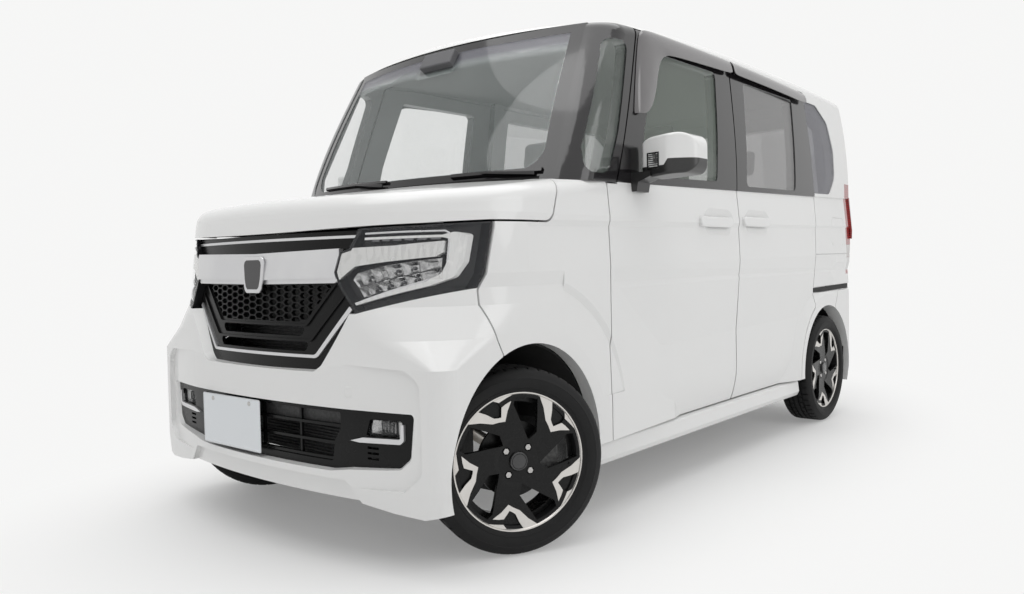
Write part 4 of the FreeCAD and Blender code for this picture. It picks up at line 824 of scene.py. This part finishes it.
CELLS = [
    [(420, 829), (432, 848), (470, 858), (506, 867), (545, 873), (585, 879), (622, 884)],
    [(440, 803), (460, 812), (490, 820), (522, 828), (556, 836), (590, 845), (630, 858)],
    [(455, 778), (480, 786), (510, 793), (540, 801), (568, 809), (596, 817), (622, 828)],
]
cells = []
for low_row, high_row in zip(CELLS[1:], CELLS):
    for index in range(6):
        corners = [low_row[index], low_row[index + 1], high_row[index + 1], high_row[index]]
        mid_x, mid_z = (sum(values) / 4 for values in zip(*corners))
        rim = [in_lamp(x + (mid_x - x) * 0.06, z + (mid_z - z) * 0.10, 0.013) for x, z in corners]
        foot = [in_lamp(x + (mid_x - x) * 0.55 + 3, z + (mid_z - z) * 0.55, 0.028) for x, z in corners]
        lattice([rim + rim[:1], foot + foot[:1]])
        with editing():
            bpy.ops.mesh.subdivide(number_cuts=1)
        face_out()
        apply("SOLIDIFY", thickness=0.0014, offset=-1)
        cells.append(bpy.context.object)
cells.append(sheet([[in_lamp(x, z - 1, 0.0300) for x, z in CELLS[2]],
                    [in_lamp(x, z + 1, 0.0300) for x, z in CELLS[0]]], 0.0016))
join(cells)
smooth(20)
both_sides("reflector_cells", bright_metal)
ribbon([(434, 806), (476, 816), (522, 829), (576, 841), (632, 858)], 2.6, 0.0105, 0.002)
both_sides("reflector_divider", gloss)

bulbs = []
for low_row, high_row, spots in ((CELLS[1], CELLS[0], (1, 3, 4)), (CELLS[2], CELLS[1], (1, 2, 3, 4))):
    for index in spots:
        (x0, z0), (x1, z1) = low_row[index], high_row[index + 1]
        middle = in_lamp((x0 + x1) / 2 + 4, (z0 + z1) / 2, 0.020)
        bpy.ops.mesh.primitive_uv_sphere_add(segments=20, ring_count=10, radius=0.0062, location=middle)
        with editing():
            bpy.ops.transform.resize(value=(1.0, 1.25, 0.8))
        settle()
        bulbs.append(bpy.context.object)
join(bulbs)
bpy.ops.object.shade_smooth()
dark_lens = Finish("diode_lens", Coat_Weight=1.0, Coat_Roughness=0.01, Roughness=0.06)
dark_tone = dark_lens.colour(dark_lens.noise(120.0), (0.015, 0.015, 0.018), (0.04, 0.04, 0.045))
dark_lens.give(Base_Color=dark_tone)
both_sides("diode_lenses", dark_lens)


# ---- Badge pad. A plain bright frame round a bare black field, pressed on to the middle
# of the satin bar. It carries no mark.
bar_y = on_nodes("chrome_trim upper_grille")((0.0, AHEAD, 0.850)).y
HALF_PAD = [(42, 904), (54, 897), (58, 884), (52, 830), (44, 800), (34, 790)]


def pad_points(share, lift):
    """The pad's outline at a share of its size, lifted off the bar's face and leaning with it."""
    points = []
    for x, z in HALF_PAD + [(-x, z) for x, z in HALF_PAD[::-1]]:
        x, z = x * share, 848 + (z - 848) * share
        points.append((x / 1000, bar_y + (z - 850) * 0.000045 - lift, z / 1000))
    return points


cut_out(pad_points(1.0, -0.003), (0, -0.0085, 0))
ease(0.0038, 4)
smooth(40)
rename("badge_pad_frame", chrome)
cut_out(pad_points(0.80, 0.0035), (0, -0.0024, 0))
ease(0.0012, 3)
rename("badge_pad_field", gloss)


# ---- Number plate. A blank pressed aluminium plate in white enamel with a raised edge,
# bolted through two holes to a black holder in front of the lower grille.
plate_white = Finish("plate_enamel", Coat_Weight=0.5, Coat_Roughness=0.05, Roughness=0.3)
PLATE_X, PLATE_Y, PLATE_Z = -0.137, -1.6962, 0.377
PLATE_HALF_X, PLATE_HALF_Z, PLATE_ROUND = 0.165, 0.0825, 0.006
x, y, z = plate_white.axes()
from_edge = (PLATE_HALF_X - abs(x - PLATE_X)).least(PLATE_HALF_Z - abs(z - PLATE_Z))
tone = plate_white.colour(plate_white.noise(3.0), (0.70, 0.73, 0.76), (0.74, 0.77, 0.79))
plate_white.give(Base_Color=plate_white.colour(from_edge.rise(0.0035, 0.0045), (0.62, 0.64, 0.66), tone))
CORNERS = ((-1, -1), (1, -1), (1, 1), (-1, 1))
outline = []
for corner, (side_x, side_z) in enumerate(CORNERS):
    for step in range(5):
        angle = math.pi / 2 * (corner + 2 + step / 4)
        x = PLATE_X + side_x * (PLATE_HALF_X - PLATE_ROUND) + PLATE_ROUND * math.cos(angle)
        z = PLATE_Z + side_z * (PLATE_HALF_Z - PLATE_ROUND) + PLATE_ROUND * math.sin(angle)
        outline.append((x, PLATE_Y, z))
mark_faces(cut_out(outline, (0, -0.0010, 0)), lambda face: face.normal.y < -0.9)
with editing(None):
    bpy.ops.mesh.inset(thickness=0.0040, depth=0.0)
    bpy.ops.mesh.inset(thickness=0.0014, depth=-0.0006)
rename("number_plate", plate_white)


def upright(x0, x1, y, z0, z1):
    """The outline of a rectangle that faces forward."""
    return [(x0, y, z0), (x1, y, z0), (x1, y, z1), (x0, y, z1)]


cut_out(upright(-0.262, -0.012, PLATE_Y + 0.0006, 0.318, 0.440), (0, 0.020, 0))
ease(0.004, 3)
rename("plate_holder", black_plastic)
heads = [(PLATE_X + side * 0.105, PLATE_Y - 0.0008, 0.4435) for side in (-1, 1)]
join([rod(0.0075, 0.0022, place, 18, 0.0009, turn=(math.pi / 2, 0, 0)) for place in heads])
rename("plate_bolts", nut_steel)


# ---- Radiator. An aluminium core of flat tubes and fins between two tanks, rubber
# mounted behind the bumper beam; it closes the view through both grilles.
def block(low, high, bevel, segments):
    """A block between two corners, with eased edges."""
    low, high = Vector(low), Vector(high)
    bpy.ops.mesh.primitive_cube_add(size=1, location=(low + high) / 2)
    bpy.ops.transform.resize(value=high - low)
    settle()
    return ease(bevel, segments)


CORE_X, CORE_LOW, CORE_HIGH, CORE_Y, TANK_WIDE, FINS = 0.300, 0.275, 0.700, -1.548, 0.028, 44
core = block((-CORE_X, CORE_Y, CORE_LOW + 0.00225), (CORE_X, CORE_Y + 0.006, CORE_LOW + 0.00575), 0.0008, 1)
apply("ARRAY", count=FINS, use_relative_offset=False, use_constant_offset=True,
      constant_offset_displace=(0, 0, (CORE_HIGH - CORE_LOW - 0.008) / (FINS - 1)))
sides = [
    block((-CORE_X, CORE_Y + 0.008, CORE_LOW), (CORE_X, CORE_Y + 0.020, CORE_HIGH), 0.003, 2),
    block((-CORE_X - TANK_WIDE, CORE_Y, CORE_LOW), (-CORE_X, CORE_Y + 0.030, CORE_HIGH), 0.003, 2),
    block((CORE_X, CORE_Y, CORE_LOW), (CORE_X + TANK_WIDE, CORE_Y + 0.030, CORE_HIGH), 0.003, 2),
]
join([core] + sides)
fin_metal = metal("radiator_core", (0.045, 0.045, 0.047), (0.10, 0.10, 0.10), 0.6, 0.5, 200.0)
rename("radiator", fin_metal)


# ---- Wipers. Black painted arms with rubber blades, parked along the foot of the
# windscreen on splines through the cowl.
screen = on_nodes("windscreen")


def wiper(name, path, width, stand, arm):
    """A blade along a path of (x, z) on the glass, standing off it, with an arm behind."""
    rows = []
    for offset, lift in ((-0.5, 0.2), (-0.35, 1.0), (0.35, 1.0), (0.5, 0.2)):
        row = [(screen((x, AHEAD, z + offset * width)), lift * stand) for x, z in path]
        rows.append([skin + Vector((0, -0.001 - off, off * 0.5)) for skin, off in row])
    blade = sheet(rows, 0.004, -1)
    foot, tip = (screen((x, AHEAD, z)) for x, z in arm)
    foot, tip = foot + Vector((0, -0.012, 0)), tip + Vector((0, -0.016, 0.006))
    low, high = Vector((0, 0, -0.004)), Vector((0, 0, 0.004))
    cut_out([foot + low * 1.5, tip + low, tip + high, foot + high * 2], (0, -0.007, 0))
    join([blade, ease(0.002, 2)])
    smooth(40)
    rename(name, gloss)


wiper("wiper_left", run(0.280, 1.1640, 0.605, 1.1660), 0.016, 0.012, ((0.585, 1.1590), (0.400, 1.1660)))
wiper("wiper_right", run(-0.470, 1.1790, -0.030, 1.1690), 0.012, 0.010, ((-0.040, 1.1580), (-0.230, 1.1740)))


# ---- Camera housing. A grained grey shroud clipped behind the top of the windscreen,
# with a small window block between it and the glass.
housing = []
for low, high in (((-0.070, 0.010, 1.606), (0.090, 0.045, 1.664)),
                  ((-0.020, 0.004, 1.622), (0.040, 0.012, 1.650))):
    across = (low[0], (low[0] + high[0]) / 2, high[0])
    rows = [[screen((x, AHEAD, z), BACK, low[1]) for x in across] for z in (low[2], high[2])]
    sheet(rows, high[1] - low[1], 1)
    housing.append(ease(0.006, 3))
join(housing)
housing_grey = grained("housing_grey", (0.10, 0.10, 0.105), (0.15, 0.15, 0.155))
rename("camera_housing", housing_grey)


# ---- Mud flaps and tow-eye cover. Moulded flaps hang behind the rear arches; a painted
# cap closes the tow-eye hole in the front bumper.
cut_out([(0.610, 1.600, 0.180), (0.690, 1.600, 0.170), (0.708, 1.606, 0.250), (0.712, 1.612, 0.400),
         (0.610, 1.612, 0.400)], (0, 0.005, 0))
ease(0.002, 2)
both_sides("mud_flap", black_plastic)
bumper_face = on_nodes("front_bumper")
EDGE_SUNK, CAP_PROUD = 0.0012, -0.0006
rows = []
for line in rounded_square(6, 8, 4):
    rows.append([])
    for u, v, pull in line:
        on_cap = pull > 0.985 and max(abs(u), abs(v)) < 0.99
        start = (0.4205 + u * pull * 0.0145, AHEAD, 0.515 + v * pull * 0.018)
        rows[-1].append(bumper_face(start, BACK, CAP_PROUD if on_cap else EDGE_SUNK))
sheet(rows, 0.0016, rounds=1)
smooth(50)
rename("tow_cover", pearl("tow_cover_paint"))


# ---- Fog lamp reflectors. A bright pressed bowl behind each lens, with a back plate and
# five upright fins.
fog_face = on_nodes("fog_lamps")
FOG_X, FOG_Y, FOG_Z, HALF_X, HALF_Z = 0.519, -1.62, 0.415, 0.055, 0.019
bowl_rows = []
for share, depth in ((1.0, 0.011), (0.65, 0.030)):
    ring = []
    for side_x, side_z in CORNERS + CORNERS[:1]:
        x, z = FOG_X + side_x * HALF_X * share, FOG_Z + side_z * HALF_Z * share
        ring.append(fog_face((x, AHEAD, z), BACK, depth, Vector((x, FOG_Y, z))))
    bowl_rows.append(ring)
parts = [sheet(bowl_rows, 0.0012)]
fog_y = fog_face((FOG_X, AHEAD, FOG_Z), BACK, 0.0, Vector((FOG_X, FOG_Y, FOG_Z))).y
back_plate = [(x, fog_y + 0.030 - (x - FOG_X) * 0.1, z)
              for x, y, z in upright(FOG_X - 0.036, FOG_X + 0.036, fog_y, FOG_Z - 0.013, FOG_Z + 0.013)]
parts.append(cut_out(back_plate, (0, 0.0015, 0)))
for index in range(5):
    x = FOG_X - 0.028 + index * 0.014
    parts.append(cut_out(upright(x, x + 0.0012, fog_y + 0.014, FOG_Z - 0.014, FOG_Z + 0.014), (0, 0.014, 0)))
join(parts)
both_sides("fog_reflector", bright_metal)




# ---- Tail lamps. Tall lenses of red polycarbonate, with clear turn and reversing windows
# low down, screwed to the quarter panels.
tail_red = Finish("tail_lens", Coat_Weight=1.0, Coat_Roughness=0.02)
x, y, z = tail_red.axes()
ribs = (z * 520.0).sine().rise(-0.7, 0.7)
red = tail_red.colour(ribs, (0.18, 0.004, 0.004), (0.36, 0.010, 0.010))
turn_window = z.rise(0.868, 0.870) * (0.936 - z).rise(-0.001, 0.001)
reverse_window = z.rise(0.796, 0.798) * (0.866 - z).rise(-0.001, 0.001)
lens_colour = tail_red.colour(turn_window, red, (0.46, 0.44, 0.43))
lens_colour = tail_red.colour(reverse_window, lens_colour, (0.55, 0.55, 0.55))
tail_red.give(Base_Color=lens_colour, Roughness=0.10 + tail_red.noise(40.0) * 0.06)
dress("tail_lamps", tail_red)


# ---- Seats. Foam cushions under woven charcoal cloth, swollen like real upholstery over
# their frames, with headrests on steel posts; front pair and a split rear bench.
weave = Finish("seat_fabric", Sheen_Weight=0.35, Sheen_Roughness=0.5, Specular_IOR_Level=0.25)
THREADS = (1400.0, 1400.0, 1400.0)
weft, warp, up = weave.axes(weave.place(scale=THREADS))
cross = (weft.sine() * warp.sine() + up.sine() * weft.sine() + up.sine() * warp.sine()) * 0.33
tone = weave.noise(18.0, 5.0) * 0.6 + cross.rise(-0.4, 0.6) * 0.4
weave.give(Base_Color=weave.colour(tone, (0.040, 0.040, 0.042), (0.105, 0.103, 0.10)), Roughness=0.85)
weave.emboss(cross, 0.0004, 0.6)
VOXEL, PRESSURE, FRAMES, MOST_SWELL = 0.009, 4, 20, 0.024
SEAM_AT, SEAM_WIDE, SEAM_DRAW = 0.62, 0.022, 0.045


def blow_up(piece):
    """Fills a closed cover with air as cloth, and keeps its shape at the last frame."""
    cloth = piece.modifiers.new("Cloth", "CLOTH")
    cloth.settings.use_pressure = True
    cloth.settings.uniform_pressure_force = PRESSURE
    cloth.settings.effector_weights.gravity = 0
    for frame_number in range(1, FRAMES + 1):
        scene.frame_set(frame_number)
    only(piece)
    bpy.ops.object.modifier_apply(modifier=cloth.name)
    scene.frame_set(1)


def pad(name, profile, x, half, seams=()):
    """A cushion: its side outline, (y, z), drawn across the seat, remeshed and blown up as cloth."""
    cut_out([(x - half, y, z) for y, z in profile], (half * 2, 0, 0))
    cover = ease(0.028, 4, angle_limit=math.radians(40))
    apply("REMESH", mode="VOXEL", voxel_size=VOXEL)
    start = [vertex.co.copy() for vertex in cover.data.vertices]
    blow_up(cover)
    mid_y, mid_z = (sum(values) / len(profile) for values in zip(*profile))
    for vertex, first in zip(cover.data.vertices, start):
        moved = vertex.co - first
        if moved.length > MOST_SWELL:
            vertex.co = first + moved.normalized() * MOST_SWELL
        for side in seams:
            gap = abs(vertex.co.x - (x + side * half))
            if gap < SEAM_WIDE:
                middle = Vector((vertex.co.x, mid_y, mid_z))
                vertex.co = vertex.co.lerp(middle, SEAM_DRAW * (1 - gap / SEAM_WIDE) ** 0.7)
    apply("SUBSURF", levels=1, render_levels=1)
    apply("DECIMATE", ratio=0.35)
    bpy.ops.object.shade_smooth()
    return as_padded(name)


def as_padded(name):
    """Makes the active object a padded piece in the seats' cloth."""
    piece = rename(name, weave)
    return piece


def tilted(y, low_in, low_out, z, high_in, high_out, top):
    """A pad's side outline, from its foot's front and back edges to its top's."""
    return [(y + low_in, z), (y + low_out, z), (y + high_out, top), (y + high_in, top)]


FLOOR_TOP, SEAT_TOP, POST_R, POST_LONG, POST_X = 0.340, 0.745, 0.006, 0.1103, 0.060
frames = []
for row, replaced, x, y, half, height in (("front", "front_seats", 0.320, -0.190, 0.250, 0.560),
                                          ("rear", "rear_seats", 0.272, 0.800, 0.260, 0.540)):
    inner, back_top = half - 0.022, SEAT_TOP + height
    foot = SEAT_TOP - 0.112
    squab = [(y - 0.240, foot), (y + 0.225, foot),
             (y + 0.225, SEAT_TOP - 0.030), (y - 0.240, SEAT_TOP - 0.018)]
    seams = (-SEAM_AT, SEAM_AT)
    cushion = pad(f"cushion_{row}_left", squab, x, inner, seams)
    back_outline = tilted(y, 0.215, 0.300, SEAT_TOP + 0.010, 0.335, 0.400, back_top - 0.020)
    back = pad(f"backrest_{row}_left", back_outline, x, inner - 0.012, seams)
    head_outline = tilted(y, 0.356, 0.406, back_top + 0.036, 0.374, 0.424, back_top + 0.174)
    head = pad(f"headrest_{row}_left", head_outline, x, 0.108)
    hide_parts(replaced)
    for piece, part in ((cushion, "cushion"), (back, "backrest"), (head, "headrest")):
        copy_of(piece).location = (-2 * x, 0, 0)
        as_padded(f"{part}_{row}_right")
    for seat_x in (x, -x):
        frames.append(block((seat_x - half + 0.060, y - 0.180, FLOOR_TOP),
                            (seat_x + half - 0.060, y + 0.200, SEAT_TOP - 0.126), 0.012, 3))
        frames.append(block((seat_x - half + 0.020, y - 0.235, SEAT_TOP - 0.150),
                            (seat_x + half - 0.020, y + 0.290, SEAT_TOP - 0.122), 0.012, 3))
        for post_x in (seat_x - POST_X, seat_x + POST_X):
            frames.append(rod(POST_R, POST_LONG, (post_x, y + 0.380, back_top + 0.005), 14, 0.001, 2))
join(frames)
smooth(30)
rename("seat_frames", black_plastic)


# ---- Instruments. A shallow cluster hood, a centre screen and the heater's panel stand
# on the dashboard, with a strip in front of the other seat.
INSTRUMENTS = (
    ((-0.470, -0.900, 1.070), (-0.210, -0.790, 1.128)),
    ((-0.110, -0.800, 0.900), (0.110, -0.745, 1.030)),
    ((-0.085, -0.780, 0.740), (0.085, -0.690, 0.860)),
    ((0.230, -0.770, 0.960), (0.540, -0.755, 1.010)),
)
join([block(low, high, 0.012, 4) for low, high in INSTRUMENTS])
smooth(30)
rename("instruments", gloss)
